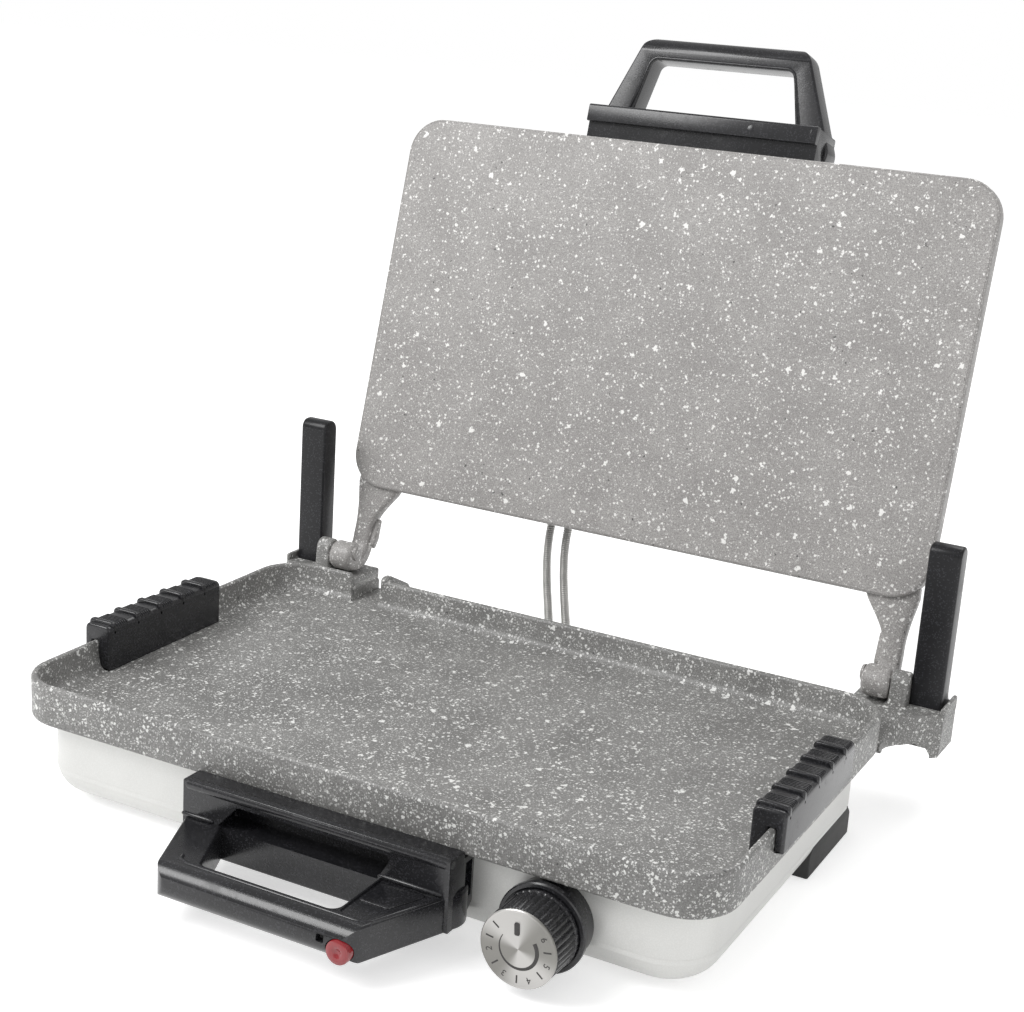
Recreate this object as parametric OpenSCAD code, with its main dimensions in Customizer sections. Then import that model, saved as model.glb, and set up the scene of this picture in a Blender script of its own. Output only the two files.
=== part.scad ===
// Electric countertop pizza maker: a cast griddle tray on a heated housing, with a hinged heated lid.
// Distances are in millimetres. Inside the modules y = 0 is the tray's front face and z = 0 the table.
// The lid is drawn shut, as it lies on the tray, and is turned back about its hinge to stand open.

/* [Griddle tray] */
// Outside width of the griddle tray
tray_w = 400; // [392:1:412]
// Outside depth of the griddle tray
tray_d = 253; // [246:1:262]
// Height of the tray's casting from its underside to its rim
tray_h = 22.8; // [21:0.2:24]
// Thickness of the tray's side walls
tray_wall = 3.75; // [3.25:0.25:4.5]
// Thickness of the tray's cooking floor
tray_floor = 6.3; // [5.5:0.1:7]
// Outside corner radius of the tray
tray_r = 27.6; // [26:0.2:30]
// Height of the tray's rim above the table
rim_z = 70; // [69:0.5:72]
// How far the hinge ears reach outside the tray's side
ear_out = 21; // [20:0.5:22]
// Height of the hinge ears, from their lowest corner to their top
ear_h = 24; // [22:0.5:26]

/* [Housing] */
// How far the housing pan is set in from the tray's edge
pan_inset = 9.3; // [8.5:0.1:10]
// Plan corner radius of the housing pan
pan_r = 28; // [26:0.5:30]
// Radius of the housing pan's bottom edge
pan_edge_r = 16; // [14:0.5:17]
// Height of the pan's underside above the table
pan_z = 4.3; // [3.5:0.1:5]
// Thickness of the drawn sheet of the pan and the cover
sheet = 1; // [0.8:0.1:1.2]
// Radius of the fixing bosses under the tray and behind the lid plate
boss_r = 5; // [4.5:0.1:5.5]

/* [Lid] */
// How far the lid plate is set in from the tray's outer side
lid_inset = 6.3; // [6:0.1:6.6]
// How far the lid plate's front edge lies behind the tray's front face
lid_front = 4.1; // [3.5:0.1:5]
// Height of the shut lid's cooking face above the tray's rim
lid_gap = 11.3; // [10.5:0.1:12]
// Thickness of the lid plate's rim
lid_t = 12; // [11.5:0.1:12.5]
// Thickness of the lid plate behind the cooking face
lid_skin = 5; // [4.5:0.1:5.5]
// Corner radius of the lid plate
lid_r = 22.3; // [21:0.1:24]
// Depth of the lid's cover behind the plate
cover_h = 33; // [32:0.5:34]
// Radius of the cover's back edge
cover_edge_r = 12; // [11:0.5:13]

/* [Hinge] */
// How far the hinge axis lies behind the tray's rear face
hinge_back = 37.8; // [37:0.1:39]
// How far the hinge axis lies below the tray's rim
hinge_drop = 1.75; // [1.5:0.05:2]
// Angle by which the lid turns from shut to open
open_angle = 105; // [100:1:106]
// Radius of the hinge pins
pin_r = 4; // [3.5:0.1:4.3]
// Radius of the hub at the end of each lid arm
hub_r = 12.5; // [12:0.1:12.8]
// Width of each lid arm
arm_w = 17.5; // [16:0.5:17.5]
// Thickness of each lid arm
arm_t = 9; // [8.5:0.1:9]

/* [Handles] */
// Half width of the handle's bracket
bracket_x = 75.5; // [74:0.5:78]
// How far the bracket's face stands in front of the tray
bracket_out = 14; // [13:0.5:15]
// Height of the handle's bracket
bracket_h = 38; // [37:0.5:39]
// How far the handle's bar stands in front of the tray
bar_out = 64; // [62:0.5:66]
// Height of the handle's loop
loop_h = 18.5; // [17.5:0.5:19]

/* [Posts and grips] */
// Width of each rear post
post_w = 18.5; // [17.5:0.5:19]
// Depth of each rear post, front to back
post_d = 14; // [13:0.5:15]
// Height of the posts' tops above the table
post_top = 150.5; // [145:0.5:153]
// Length of each side grip along the tray's side
grip_l = 101; // [96:1:106]
// Thickness of each side grip's outer leg
grip_leg = 4.8; // [4.4:0.1:5.2]

/* [Knob] */
// Distance of the knob's axis from the tray's right side
knob_inset = 82; // [80:0.5:84]
// Radius of the knob's skirt
knob_r = 19; // [18.5:0.1:19.5]
// Length of the knob's skirt
knob_l = 20.2; // [17:0.1:21.5]

/* [Heating] */
// Radius of the tubular heating elements
tube_r = 3.25; // [3:0.05:3.4]
// Distance between the element's runs, centre to centre
run_pitch = 50; // [48:1:51]

/* [Conduits] */
// Outside radius of the conduits over their coils
conduit_r = 2.8; // [2.6:0.05:2.9]
// Distance between the two conduits at the lid
conduit_gap = 12; // [11:0.5:13]

/* [Hidden] */
$fn = 64;

// Clearances: running fit, fit of a seated piece, and the gap under a resting lid
run_fit = 0.05;
seat_fit = 0.02;
rest_gap = 0.1;
side_gap = 0.5;

tray_x = tray_w / 2;
tray_z = rim_z - tray_h;
floor_z = tray_z + tray_floor;

pan_x = tray_x - pan_inset;
pan_back = tray_d - pan_inset;
boss_x = tray_x - 50;
tray_screw_l = 30;
cover_screw_l = 20;
handle_screw_x = 60;
handle_screw_drop = 15.8;
boss_front = 38;
boss_back = tray_d - boss_front;

spout_out = tray_x - 54.5;
spout_in = spout_out - 19;
spout_lip = 4.5;

lid_x = tray_x - lid_inset;
lid_back = tray_d - 6.1;
lid_z = rim_z + lid_gap;
lid_top = lid_z + lid_t;
cover_inset = 9.6;
cover_x = lid_x - cover_inset;
cover_front = lid_front + cover_inset;
cover_back = lid_back - cover_inset;
cover_top = lid_top + cover_h;

hinge_y = tray_d + hinge_back;
hinge_z = rim_z - hinge_drop;
arm_in = tray_x - 30;
arm_out = arm_in + arm_w;
arm_top = lid_top;
arm_bend_r = arm_top - hinge_z - 4.75;
arm_bend_y = hinge_y + hub_r - 0.2 - arm_bend_r;
arm_bend_z = arm_top - arm_bend_r;
lug_in = arm_out + side_gap;
lug_w = 9.8;
lug_out = lug_in + lug_w;
lug_r = 10;

// Lowest point of the standing lid's arms: the heel that rests on the ears' stop ledge
heel_y = arm_bend_y - hinge_y;
heel_z = arm_bend_z - hinge_z;
heel_open_z = hinge_z - sin(open_angle) * heel_y + cos(open_angle) * heel_z - arm_bend_r;
ledge_z = heel_open_z - run_fit;
ear_x = tray_x + ear_out;
ear_top = ledge_z + 1.8;
ear_z = ear_top - ear_h;
ear_back = hinge_y + 21.2;
ear_in = tray_x - 14;
ear_wall = 3.5;

post_in = lug_out + 0.7;
post_out = post_in + post_w;
post_y = hinge_y + 0.2;
post_seat = ear_top - 4;

grip_in = tray_x - 12;
grip_out = tray_x + run_fit + grip_leg;
grip_y = 66;
grip_top = lid_z - rest_gap;
grip_band = 1.8;

bracket_z = tray_z + 3.8 - bracket_h;
loop_z = bracket_z;
base_screw_z = bracket_z + bracket_h - handle_screw_drop;
bar_r = loop_h / 2;
lens_x = 48;
lens_z = loop_z + 6.2;
lens_dome = 1.5;
bead_r = 3.3;
recess_foot = 8.5;

knob_x = tray_x - knob_inset;
knob_z = tray_z - 21.8;
thermostat_drop = 5;
tab_z = knob_z - thermostat_drop;
knob_face = -4.3 - knob_l;
disc_t = 1.4;
shaft_r = 3;

cold_x = pan_x - 64.7;

gland_x = 90;
gland_z = 28;
lead_r = 1.6;
lead_bend = 6;
lead_z = pan_z + sheet + 5;
pad_x = pan_x - 50.7;
pad_y = pan_inset + 52.7;
pad_r = 10;
foot_in = pan_x - 32.7;
foot_out = pan_x - 0.4;
foot_front = pan_back - 83.7;
foot_back = pan_back - 17.7;
foot_screw_x = foot_in + 10;
foot_screw_y = foot_front + 16;
terminal_y = pan_back - 39.7;
terminal_x = gland_x;
terminal_pitch = 12;
base_ferrule_z = 30;
base_ferrule_x = -22;
lid_ferrule_x = -55;
lid_ferrule_z = lid_top + 12;
ferrule_l = 8;

// Middle of the whole standing object, front to back
lid_handle_y = lid_front - 7.1;
lid_handle_z = lid_z + 8.2;
lid_bar_y = lid_handle_y - bar_out + bar_r;
lid_bar_z = lid_handle_z + bracket_h - bar_r;
rear_reach = hinge_y + cos(open_angle) * (lid_bar_y - hinge_y) + sin(open_angle) * (lid_bar_z - hinge_z) + bar_r;
y_mid = (rear_reach - bar_out - lens_dome) / 2;

silver = [0.78, 0.78, 0.76];
stone = [0.42, 0.42, 0.41];
pale_stone = [0.58, 0.57, 0.55];
black = [0.08, 0.08, 0.09];
steel = [0.7, 0.7, 0.72];
zinc = [0.62, 0.63, 0.64];
brass = [0.78, 0.62, 0.32];
ceramic = [0.9, 0.88, 0.82];
red = [0.85, 0.1, 0.08];
wire_red = [0.6, 0.15, 0.1];

// Outline with straight sides and round corners: circles on the centres, joined along their outer sides
function out_x(a, b) = (b[1] - a[1]) / norm(b - a);
function out_y(a, b) = (a[0] - b[0]) / norm(b - a);
function shifted(a, b, p, r) = [p[0] + r * out_x(a, b), p[1] + r * out_y(a, b)];

module rounded_outline(c, r) {
    n = len(c);
    ends = [for (i = [0 : n - 1]) [shifted(c[i], c[(i + 1) % n], c[i], r), shifted(c[i], c[(i + 1) % n], c[(i + 1) % n], r)]];
    polygon([for (e = ends) each e]);
    for (p = c) translate(p) circle(r);
}

// Rounded rectangle between two corners in plan
module plan_box(x0, y0, x1, y1, r) {
    rounded_outline([[x0 + r, y0 + r], [x1 - r, y0 + r], [x1 - r, y1 - r], [x0 + r, y1 - r]], r);
}

module block(x0, y0, z0, x1, y1, z1) {
    translate([x0, y0, z0]) cube([x1 - x0, y1 - y0, z1 - z0]);
}

// Round bar along x, along y or along z
module bar_x(x0, x1, y, z, r) {
    translate([x0, y, z]) rotate([0, 90, 0]) cylinder(r = r, h = x1 - x0);
}

module bar_y(y0, y1, x, z, r) {
    translate([x, y0, z]) rotate([-90, 0, 0]) cylinder(r = r, h = y1 - y0);
}

module bar_z(z0, z1, x, y, r) {
    translate([x, y, z0]) cylinder(r = r, h = z1 - z0);
}

module both_sides() {
    children();
    mirror([1, 0, 0]) children();
}

// Places a base piece: the object's middle goes to the origin
module on_base() {
    translate([0, -y_mid, 0]) children();
}

// Places a lid piece: turned back about the hinge to the standing pose
module on_lid() {
    on_base() translate([0, hinge_y, hinge_z]) rotate([-open_angle, 0, 0]) translate([0, -hinge_y, -hinge_z]) children();
}

// Side profile, depth against height, drawn out along x
module along_x(x0, x1) {
    translate([x0, 0, 0]) rotate([90, 0, 90]) linear_extrude(x1 - x0) children();
}

// Drawn pan with a round bottom edge, standing on its closed side
module drawn_pan(x, y0, y1, z0, h, r, edge) {
    hull() {
        for (cx = [r - x, x - r]) {
            for (cy = [y0 + r, y1 - r]) {
                translate([cx, cy, z0]) pan_corner(h, r, edge);
            }
        }
    }
}

module pan_corner(h, r, edge) {
    arc = [for (a = [0 : 15 : 90]) [r - edge + edge * sin(a), edge - edge * cos(a)]];
    rotate_extrude($fn = 32) polygon(concat([[0, 0]], arc, [[r, h], [0, h]]));
}

module boss_places() {
    for (sx = [-1, 1]) {
        for (y = [boss_front, boss_back]) {
            translate([sx * boss_x, y, 0]) children();
        }
    }
}

// Pan-head screw along z with its head below, the shank running up
module screw_up(z, l, r) {
    translate([0, 0, z]) cylinder(r = r, h = l);
    translate([0, 0, z - 2]) cylinder(r = 2 * r, h = 2);
}

// The housing pan, open at the top under the tray
module pan_body() {
    drawn_pan(pan_x, pan_inset, pan_back, pan_z, tray_z - pan_z, pan_r, pan_edge_r);
}

module housing_pan() {
    color(silver) difference() {
        pan_body();
        drawn_pan(pan_x - sheet, pan_inset + sheet, pan_back - sheet, pan_z + sheet, tray_z, pan_r - sheet, pan_edge_r - sheet);
        boss_places() bar_z(0, 10, 0, 0, 2.3);
        bar_y(pan_inset - 2, pan_inset + 3, knob_x, knob_z, 4.5 + seat_fit);
        for (x = [-handle_screw_x, handle_screw_x]) bar_y(pan_inset - 2, pan_inset + 3, x, base_screw_z, 2.1);
        bar_y(pan_inset - 2, pan_inset + 3, 54, lens_z + 4, 3);
        bar_y(pan_back - 3, pan_back + 2, gland_x, gland_z, 6 + seat_fit);
        for (i = [0, 1]) bar_y(pan_back - 3, pan_back + 2, base_ferrule_x + i * conduit_gap, base_ferrule_z, 4 + seat_fit);
        foot_places() bar_z(0, 10, 0, 0, 1.6);
        both_sides() bar_z(0, 10, foot_screw_x, foot_screw_y, 1.6);
    }
}

// The cast tray with its drain spout and the two hinge ears
module griddle_tray() {
    color(stone) difference() {
        union() {
            translate([0, 0, tray_z]) linear_extrude(tray_h) plan_box(-tray_x, 0, tray_x, tray_d, tray_r);
            spout_outside();
            both_sides() ear();
            boss_places() bar_z(pan_z + sheet, tray_z + 1, 0, 0, boss_r);
        }
        translate([0, 0, floor_z]) linear_extrude(tray_h) tray_inside();
        spout_channel();
        both_sides() ear_cuts();
        boss_places() bar_z(0, tray_z - 8, 0, 0, 2 + seat_fit);
        clamp_places() bar_z(tray_z - 1, tray_z + 4, 0, 0, 1.5 + seat_fit);
    }
}

module tray_inside() {
    plan_box(-tray_x + tray_wall, tray_wall, tray_x - tray_wall, tray_d - tray_wall, tray_r - tray_wall);
}

// Drain spout at the rear left: two lips and a floor that carries fat past the rear wall
module spout_outside() {
    outer = spout_out + spout_lip;
    inner = spout_in - spout_lip;
    block(-outer, tray_d - 6, tray_z, -inner, tray_d + 26, floor_z + 0.5);
    block(-outer, tray_d - 4, tray_z, -spout_out, tray_d + 26, rim_z - 2);
    block(-spout_in, tray_d - 3.6, tray_z, -inner, tray_d + 26, rim_z - 4);
    bar_z(tray_z, rim_z + 3, 2.2 - spout_in, tray_d - 1.2, 2.6);
}

module spout_channel() {
    block(-spout_out, tray_d - 12, floor_z, -spout_in, tray_d + 30, rim_z + 10);
}

// One hinge ear, on the right: shelf, swept web to the tray's side, cheek for the pin
module ear() {
    difference() {
        union() {
            translate([0, 0, ear_z]) linear_extrude(ear_h) polygon(ear_plan());
            translate([0, 0, ear_top - 9]) linear_extrude(9) polygon(shelf_plan());
            hull() {
                translate([0, 0, ear_z]) linear_extrude(1) polygon(sweep_low());
                translate([0, 0, rim_z - 12]) linear_extrude(1) polygon(sweep_high());
            }
            bar_x(lug_in, lug_out, hinge_y, hinge_z, lug_r);
            block(lug_in, hinge_y - lug_r + 0.3, ear_top - 6, lug_out, hinge_y + lug_r - 0.3, hinge_z);
            block(post_out + 1.4, post_y - 7, ear_top - 4, ear_x, ear_back, ear_top + 4);
        }
        // Hollow underside of the ear and of the web
        translate([0, 0, ear_z - 1]) linear_extrude(ear_h - 9) polygon(hollow_plan());
    }
}

function ear_plan() = [[ear_in, tray_d + 6], [ear_x, hinge_y - 9], [ear_x, ear_back], [ear_in, ear_back]];
function shelf_plan() = [[ear_in - 20, tray_d - 2], [ear_in + 2, tray_d - 9], [ear_in + 2, ear_back], [ear_in - 20, ear_back]];
function hollow_plan() = [
    [ear_in + 3.5, tray_d + 13], [ear_x - ear_wall, hinge_y - 3], [ear_x - ear_wall, ear_back - ear_wall],
    [ear_in + 3.5, ear_back - ear_wall]
];
function sweep_low() = [
    [ear_in + 7, tray_d - 21], [tray_x, tray_d - 21], [tray_x + 4, tray_d + 6], [ear_x, hinge_y - 9.5],
    [ear_in + 7, tray_d + 11]
];
function sweep_high() = [
    [ear_in + 6, tray_d - 27], [tray_x - 0.4, tray_d - 24], [tray_x - 3, tray_d - 12], [ear_in + 3, tray_d - 5]
];

// Cuts in one ear: pin bore, post pocket, post screw hole, room for the arm above the ledge
module ear_cuts() {
    bar_x(lug_in - 1, lug_out + 1, hinge_y, hinge_z, pin_r + seat_fit);
    block(post_in - seat_fit, post_y - seat_fit, post_seat, post_out + seat_fit, ear_back - 1.5 + seat_fit, ear_top + 20);
    bar_z(ear_z - 1, ear_top, post_in + post_w / 2, post_y + post_d / 2, 2 + seat_fit);
    block(arm_in - 10, hinge_y - hub_r - 4, ledge_z, lug_in, ear_back + 1, ear_top + 30);
}

module tray_screws() {
    color(zinc) boss_places() screw_up(pan_z, tray_screw_l, 2);
}

// Serpentine tubular element: four runs joined by round bends, with two cold ends turned away
module serpentine(z, y0, turn) {
    reach = cold_x - 8;
    bend = run_pitch / 2;
    for (i = [0 : 3]) bar_x(-reach, reach, y0 + i * run_pitch, z, tube_r);
    for (i = [0, 2]) translate([-reach, y0 + (i + 0.5) * run_pitch, z]) half_ring(bend, 90);
    translate([reach, y0 + 1.5 * run_pitch, z]) half_ring(bend, -90);
    for (i = [0, 3]) {
        translate([reach, y0 + i * run_pitch, z + turn * 8]) rotate([90 * turn, 0, 0]) quarter_ring(8);
        if (turn < 0) bar_z(z - 14, z - 8, reach + 8, y0 + i * run_pitch, tube_r);
        if (turn > 0) bar_z(z + 8, z + 14, reach + 8, y0 + i * run_pitch, tube_r);
    }
}

module half_ring(r, a) {
    rotate([0, 0, a]) rotate_extrude(angle = 180) translate([r, 0]) circle(tube_r);
}

module quarter_ring(r) {
    rotate([0, 0, -90]) rotate_extrude(angle = 90) translate([r, 0]) circle(tube_r);
}

lower_run_y = tray_d / 2 - 1.5 * run_pitch;

module lower_element() {
    color(steel) serpentine(tray_z - tube_r, lower_run_y, -1);
}

clamp_x = 80;

module clamp_places() {
    for (x = [-clamp_x, 0, clamp_x]) {
        for (y = [lower_run_y + run_pitch / 2, lower_run_y + 2.5 * run_pitch]) {
            translate([x, y, 0]) children();
        }
    }
}

module lower_element_clamps() {
    color(zinc) for (x = [-clamp_x, 0, clamp_x]) {
        difference() {
            clamp_strip(x, tray_z - 2 * tube_r - 1.5);
            for (i = [0.5, 2.5]) bar_z(0, tray_z, x, lower_run_y + i * run_pitch, 1.5 + seat_fit);
        }
    }
}

module clamp_strip(x, z) {
    block(x - 8, lower_run_y - 12, z, x + 8, lower_run_y + 3 * run_pitch + 12, z + 1.5);
}

module lower_clamp_screws() {
    color(zinc) clamp_places() screw_up(tray_z - 2 * tube_r - 1.5, 2 * tube_r + 5, 1.5);
}

// Reflector under the element, hung on the tray's bosses
module lower_heat_shield() {
    z = tray_z - 15;
    color(steel) difference() {
        translate([0, 0, z]) linear_extrude(0.8) plan_box(-pan_x + 12, pan_inset + 12, pan_x - 12, pan_back - 12, 18);
        boss_places() bar_z(z - 1, z + 2, 0, 0, boss_r + seat_fit);
        block(knob_x - 17, pan_inset + 10, z - 1, knob_x + 20, pan_inset + 36, z + 2);
        for (i = [0, 3]) bar_z(z - 1, z + 2, cold_x, lower_run_y + i * run_pitch, tube_r + 2);
    }
}

// Thermostat block on the inside of the front wall, with its threaded bush through the wall
module thermostat() {
    color(ceramic) difference() {
        union() {
            block(knob_x - 15, pan_inset + sheet, tab_z, knob_x + 15, pan_inset + 29, knob_z + 10);
            bar_y(3, pan_inset + sheet + 1, knob_x, knob_z, 4.5);
            for (s = [-1, 1]) block(knob_x + s * 9 - 3, pan_inset + 28, tab_z, knob_x + s * 9 + 3, pan_inset + 38, tab_z + 1);
        }
        bar_y(0, pan_inset + 24, knob_x, knob_z, shaft_r + run_fit);
    }
}

module thermostat_nut() {
    color(brass) difference() {
        translate([knob_x, 3.2, knob_z]) rotate([-90, 0, 0]) cylinder(r = 7.5, h = 2.8, $fn = 6);
        bar_y(2, 8, knob_x, knob_z, 4.5 + seat_fit);
    }
}

// Stepped round bezel behind the knob, held by the thermostat's nut
module knob_bezel() {
    color(black) difference() {
        union() {
            bar_y(-4, -0.4, knob_x, knob_z, 22.3);
            bar_y(-3, pan_inset, knob_x, knob_z, 20.5);
        }
        bar_y(-6, 6, knob_x, knob_z, 12);
        bar_y(-4.5, -3, knob_x, knob_z, 17);
        bar_y(5, pan_inset + 1, knob_x, knob_z, 4.5 + seat_fit);
    }
}

module thermostat_shaft() {
    color(steel) difference() {
        bar_y(knob_face + 3, pan_inset + 23.5, knob_x, knob_z, shaft_r);
        block(knob_x - 4, knob_face + 2, knob_z + 1.6, knob_x + 4, -5, knob_z + 4);
    }
}

module knob_skirt() {
    color(black) difference() {
        union() {
            bar_y(knob_face, -4.3, knob_x, knob_z, knob_r - 0.8);
            bar_y(-7, -4.3, knob_x, knob_z, knob_r + 0.6);
            for (a = [0 : 10 : 350]) {
                translate([knob_x, 0, knob_z]) rotate([0, a, 0]) bar_y(knob_face + 0.6, -5, knob_r - 0.8, 0, 0.8);
            }
        }
        bar_y(knob_face - 1, knob_face + 1.6, knob_x, knob_z, knob_r - 1.6 + seat_fit);
        bar_y(-14, -4, knob_x, knob_z, 14);
        shaft_hole();
    }
    color(black) difference() {
        bar_y(-14.5, -5, knob_x, knob_z, 6);
        shaft_hole();
    }
}

module shaft_hole() {
    difference() {
        bar_y(knob_face + 3 - seat_fit, 0, knob_x, knob_z, shaft_r + seat_fit);
        block(knob_x - 4, knob_face, knob_z + 1.6 + seat_fit, knob_x + 4, 0, knob_z + 5);
    }
}

// Brushed dial disc over the knob's face, spigoted into it, with a raised pointer
module knob_disc() {
    color(silver) union() {
        bar_y(knob_face - disc_t, knob_face, knob_x, knob_z, knob_r + 0.1);
        bar_y(knob_face - 0.1, knob_face + 1.6, knob_x, knob_z, knob_r - 1.6);
        block(knob_x - 1, knob_face - disc_t - 0.4, knob_z + 5, knob_x + 1, knob_face - 0.5, knob_z + 12);
    }
}

// Handle moulding: bracket with a round bead along its top, and a loop with a round bar.
// It is drawn with y = 0 at the tray's front face and z = 0 at the bracket's foot.
module handle(hole, lean, step_y, back) {
    color(black) difference() {
        union() {
            along_x(-bracket_x, bracket_x) bracket_profile(step_y, back);
            intersection() {
                linear_extrude(loop_h) loop_outline();
                along_x(-bracket_x, bracket_x) loop_profile();
            }
            bar_x(-bracket_x, bracket_x, bead_r - bracket_out - 0.7, bracket_h - bead_r, bead_r);
        }
        translate([0, 0, -1]) linear_extrude(loop_h + 2) rounded_outline(hole, 5);
        finger_recess(hole[3][0] - 5, hole[2][0] + 5, lean, back);
        for (x = [-handle_screw_x, handle_screw_x]) bar_y(-4, back + 1, x, bracket_h - handle_screw_drop, 1.8 + seat_fit);
        children();
    }
}

// Recess between the fingers' hole and the bead, open below in front of the housing's wall
module finger_recess(x0, x1, lean, back) {
    top = bracket_h - 2 * bead_r - 0.5;
    translate([0, 1.5, 0]) rotate([90, 0, 0]) linear_extrude(bracket_out + 4) polygon([
        [x0 + 1, loop_h - 1], [x0 + 13, top], [x1 + lean, top], [x1 - 1, loop_h - 1]
    ]);
    block(x0 + 3, 1, -2, x1 - 3, back + 1, recess_foot);
}

// Side profile of the bracket: its top stands in front of the tray, its back fits below the tray
module bracket_profile(step_y, back) {
    polygon([
        [-bracket_out, 0], [-bracket_out, bracket_h - 0.5], [step_y, bracket_h - 0.5],
        [step_y, bracket_h - 4.2], [back, bracket_h - 4.2], [back, 8], [0, 0]
    ]);
}

module loop_outline() {
    rounded_outline([[-45.5, 12 - bar_out], [45.5, 12 - bar_out], [65.5, -2], [-65.5, -2]], 12);
}

module loop_profile() {
    translate([bar_r - bar_out, bar_r]) circle(bar_r);
    translate([bar_r - bar_out, 0]) square([bar_out - bar_r - 2, loop_h]);
}

// Centres of the hole's corners: the base handle keeps a wide leg for the lamp's wires
base_hole = [[-33.5, 18.5 - bar_out], [33, 18.5 - bar_out], [33, -3], [-51, -3]];
lid_hole = [[-43.5, 15 - bar_out], [43.5, 15 - bar_out], [52, -3], [-52, -3]];

module wire_cover_plan(gap) {
    polygon([
        [40.5 - gap, -36 - gap], [57 + gap, -36 - gap], [66 + gap, -bracket_out - 1 + gap],
        [40.5 - gap, -bracket_out - 1 + gap]
    ]);
}

module place_base_handle() {
    translate([0, 0, bracket_z]) children();
}

// The lid's handle has the same bracket and loop turned over, a little further out
module place_lid_handle() {
    translate([0, lid_handle_y, lid_handle_z + bracket_h]) rotate([0, 180, 0]) children();
}

module base_handle() {
    place_base_handle() handle(base_hole, 7, -0.5, pan_inset) {
        block(42, -38, 6, 60, pan_inset + 1, loop_h - 1.5);
        translate([0, 0, loop_h - 1.5]) linear_extrude(3) wire_cover_plan(seat_fit);
        bar_y(-bar_out - 1, -bar_out + 4, lens_x, lens_z - loop_z, 6.2 + seat_fit);
        bar_y(-bar_out, -36, lens_x, lens_z - loop_z, 4 + seat_fit);
    }
}

module base_wire_cover() {
    color(black) place_base_handle() union() {
        translate([0, 0, loop_h - 1.5]) linear_extrude(1.5) wire_cover_plan(0);
        block(43, -35, loop_h - 5, 46, -17, loop_h - 1);
    }
}

module base_handle_screws() {
    color(zinc) for (x = [-handle_screw_x, handle_screw_x]) {
        bar_y(-3, pan_inset + sheet, x, base_screw_z, 1.8);
        bar_y(pan_inset + sheet, pan_inset + sheet + 2, x, base_screw_z, 3.6);
    }
}

module indicator_lens() {
    color(red) intersection() {
        bar_y(-bar_out - 2, -bar_out + 4, lens_x, lens_z, 6.2);
        translate([lens_x, 12.5 - bar_out - lens_dome, lens_z]) sphere(12.5);
    }
}

module lamp_holder() {
    color(ceramic) union() {
        bar_y(-bar_out + 4, -44, lens_x, lens_z, 4);
        for (s = [-1, 1]) bar_y(-44, -40, lens_x + s * 1.8, lens_z, 0.6);
    }
}

// Saddle over the tray's side wall, with five raised bands on which the shut lid rests
module side_grip() {
    pitch = grip_l / 5;
    color(black) difference() {
        union() {
            block(grip_in, grip_y, floor_z, grip_out, grip_y + grip_l, grip_top - grip_band);
            for (i = [0 : 4]) grip_ribs(grip_y + (i + 0.5) * pitch);
        }
        block(tray_x - tray_wall - run_fit, grip_y - 1, floor_z - 1, tray_x + run_fit, grip_y + grip_l + 1, rim_z);
    }
    color(black) block(tray_x + run_fit, grip_y, rim_z - 12, grip_out, grip_y + grip_l, rim_z);
}

module grip_ribs(y) {
    block(grip_in, y - 5, grip_top - grip_band - 1, grip_out, y + 5, grip_top - 0.7);
    for (i = [-2 : 2]) block(grip_in, y + i * 2 - 0.5, grip_top - 1, grip_out, y + i * 2 + 0.5, grip_top);
}

module rear_post() {
    color(black) difference() {
        union() {
            block(post_in, post_y, post_seat, post_out, post_y + post_d, post_top - post_d / 2);
            bar_x(post_in, post_out, post_y + post_d / 2, post_top - post_d / 2, post_d / 2);
            block(post_in, post_y, post_seat, post_out, ear_back - 1.5, ear_top + 6);
        }
        bar_z(post_seat - 1, post_seat + 14, post_in + post_w / 2, post_y + post_d / 2, 2 + seat_fit);
    }
}

module post_screws() {
    z = ear_z + ear_h - 10;
    color(zinc) both_sides() translate([post_in + post_w / 2, post_y + post_d / 2, 0]) screw_up(z, 16, 2);
}

// Headed pins: the head bears on the arm's inner face, the far end is closed off by the post
module hinge_pins() {
    color(steel) both_sides() union() {
        bar_x(arm_in - 3.1, arm_in - run_fit, hinge_y, hinge_z, 7);
        bar_x(arm_in - 1, lug_out, hinge_y, hinge_z, pin_r);
    }
}

module foot_places() {
    for (s = [-1, 1]) translate([s * pad_x, pad_y, 0]) children();
}

module front_feet() {
    color(black) foot_places() difference() {
        bar_z(0, pan_z, 0, 0, pad_r);
        bar_z(-1, pan_z - 1.3, 0, 0, 3.4);
        bar_z(-1, pan_z + 1, 0, 0, 1.5 + seat_fit);
    }
}

// Block foot under the rounded bottom edge of the pan's side
module rear_foot() {
    color(black) difference() {
        linear_extrude(pan_z + pan_edge_r) plan_box(foot_in, foot_front, foot_out, foot_back, 6);
        pan_body();
        bar_z(-1, pan_z - 1.3, foot_screw_x, foot_screw_y, 3.4);
        bar_z(-1, pan_z + 1, foot_screw_x, foot_screw_y, 1.5 + seat_fit);
    }
}

module feet_screws() {
    color(zinc) {
        foot_places() screw_up(pan_z - 1.3, 5, 1.5);
        both_sides() translate([foot_screw_x, foot_screw_y, 0]) screw_up(pan_z - 1.3, 5, 1.5);
    }
}

// Bush for the mains lead in the rear wall
module mains_gland() {
    color(black) difference() {
        union() {
            bar_y(pan_back - 6, pan_back + 8, gland_x, gland_z, 6);
            bar_y(pan_back, pan_back + 2.5, gland_x, gland_z, 9);
            bar_y(pan_back - 4, pan_back - sheet, gland_x, gland_z, 8);
        }
        bar_y(pan_back - 8, pan_back + 10, gland_x, gland_z, 3.5);
    }
}

terminals = [for (i = [0 : 2]) terminal_x - i * terminal_pitch];

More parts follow.
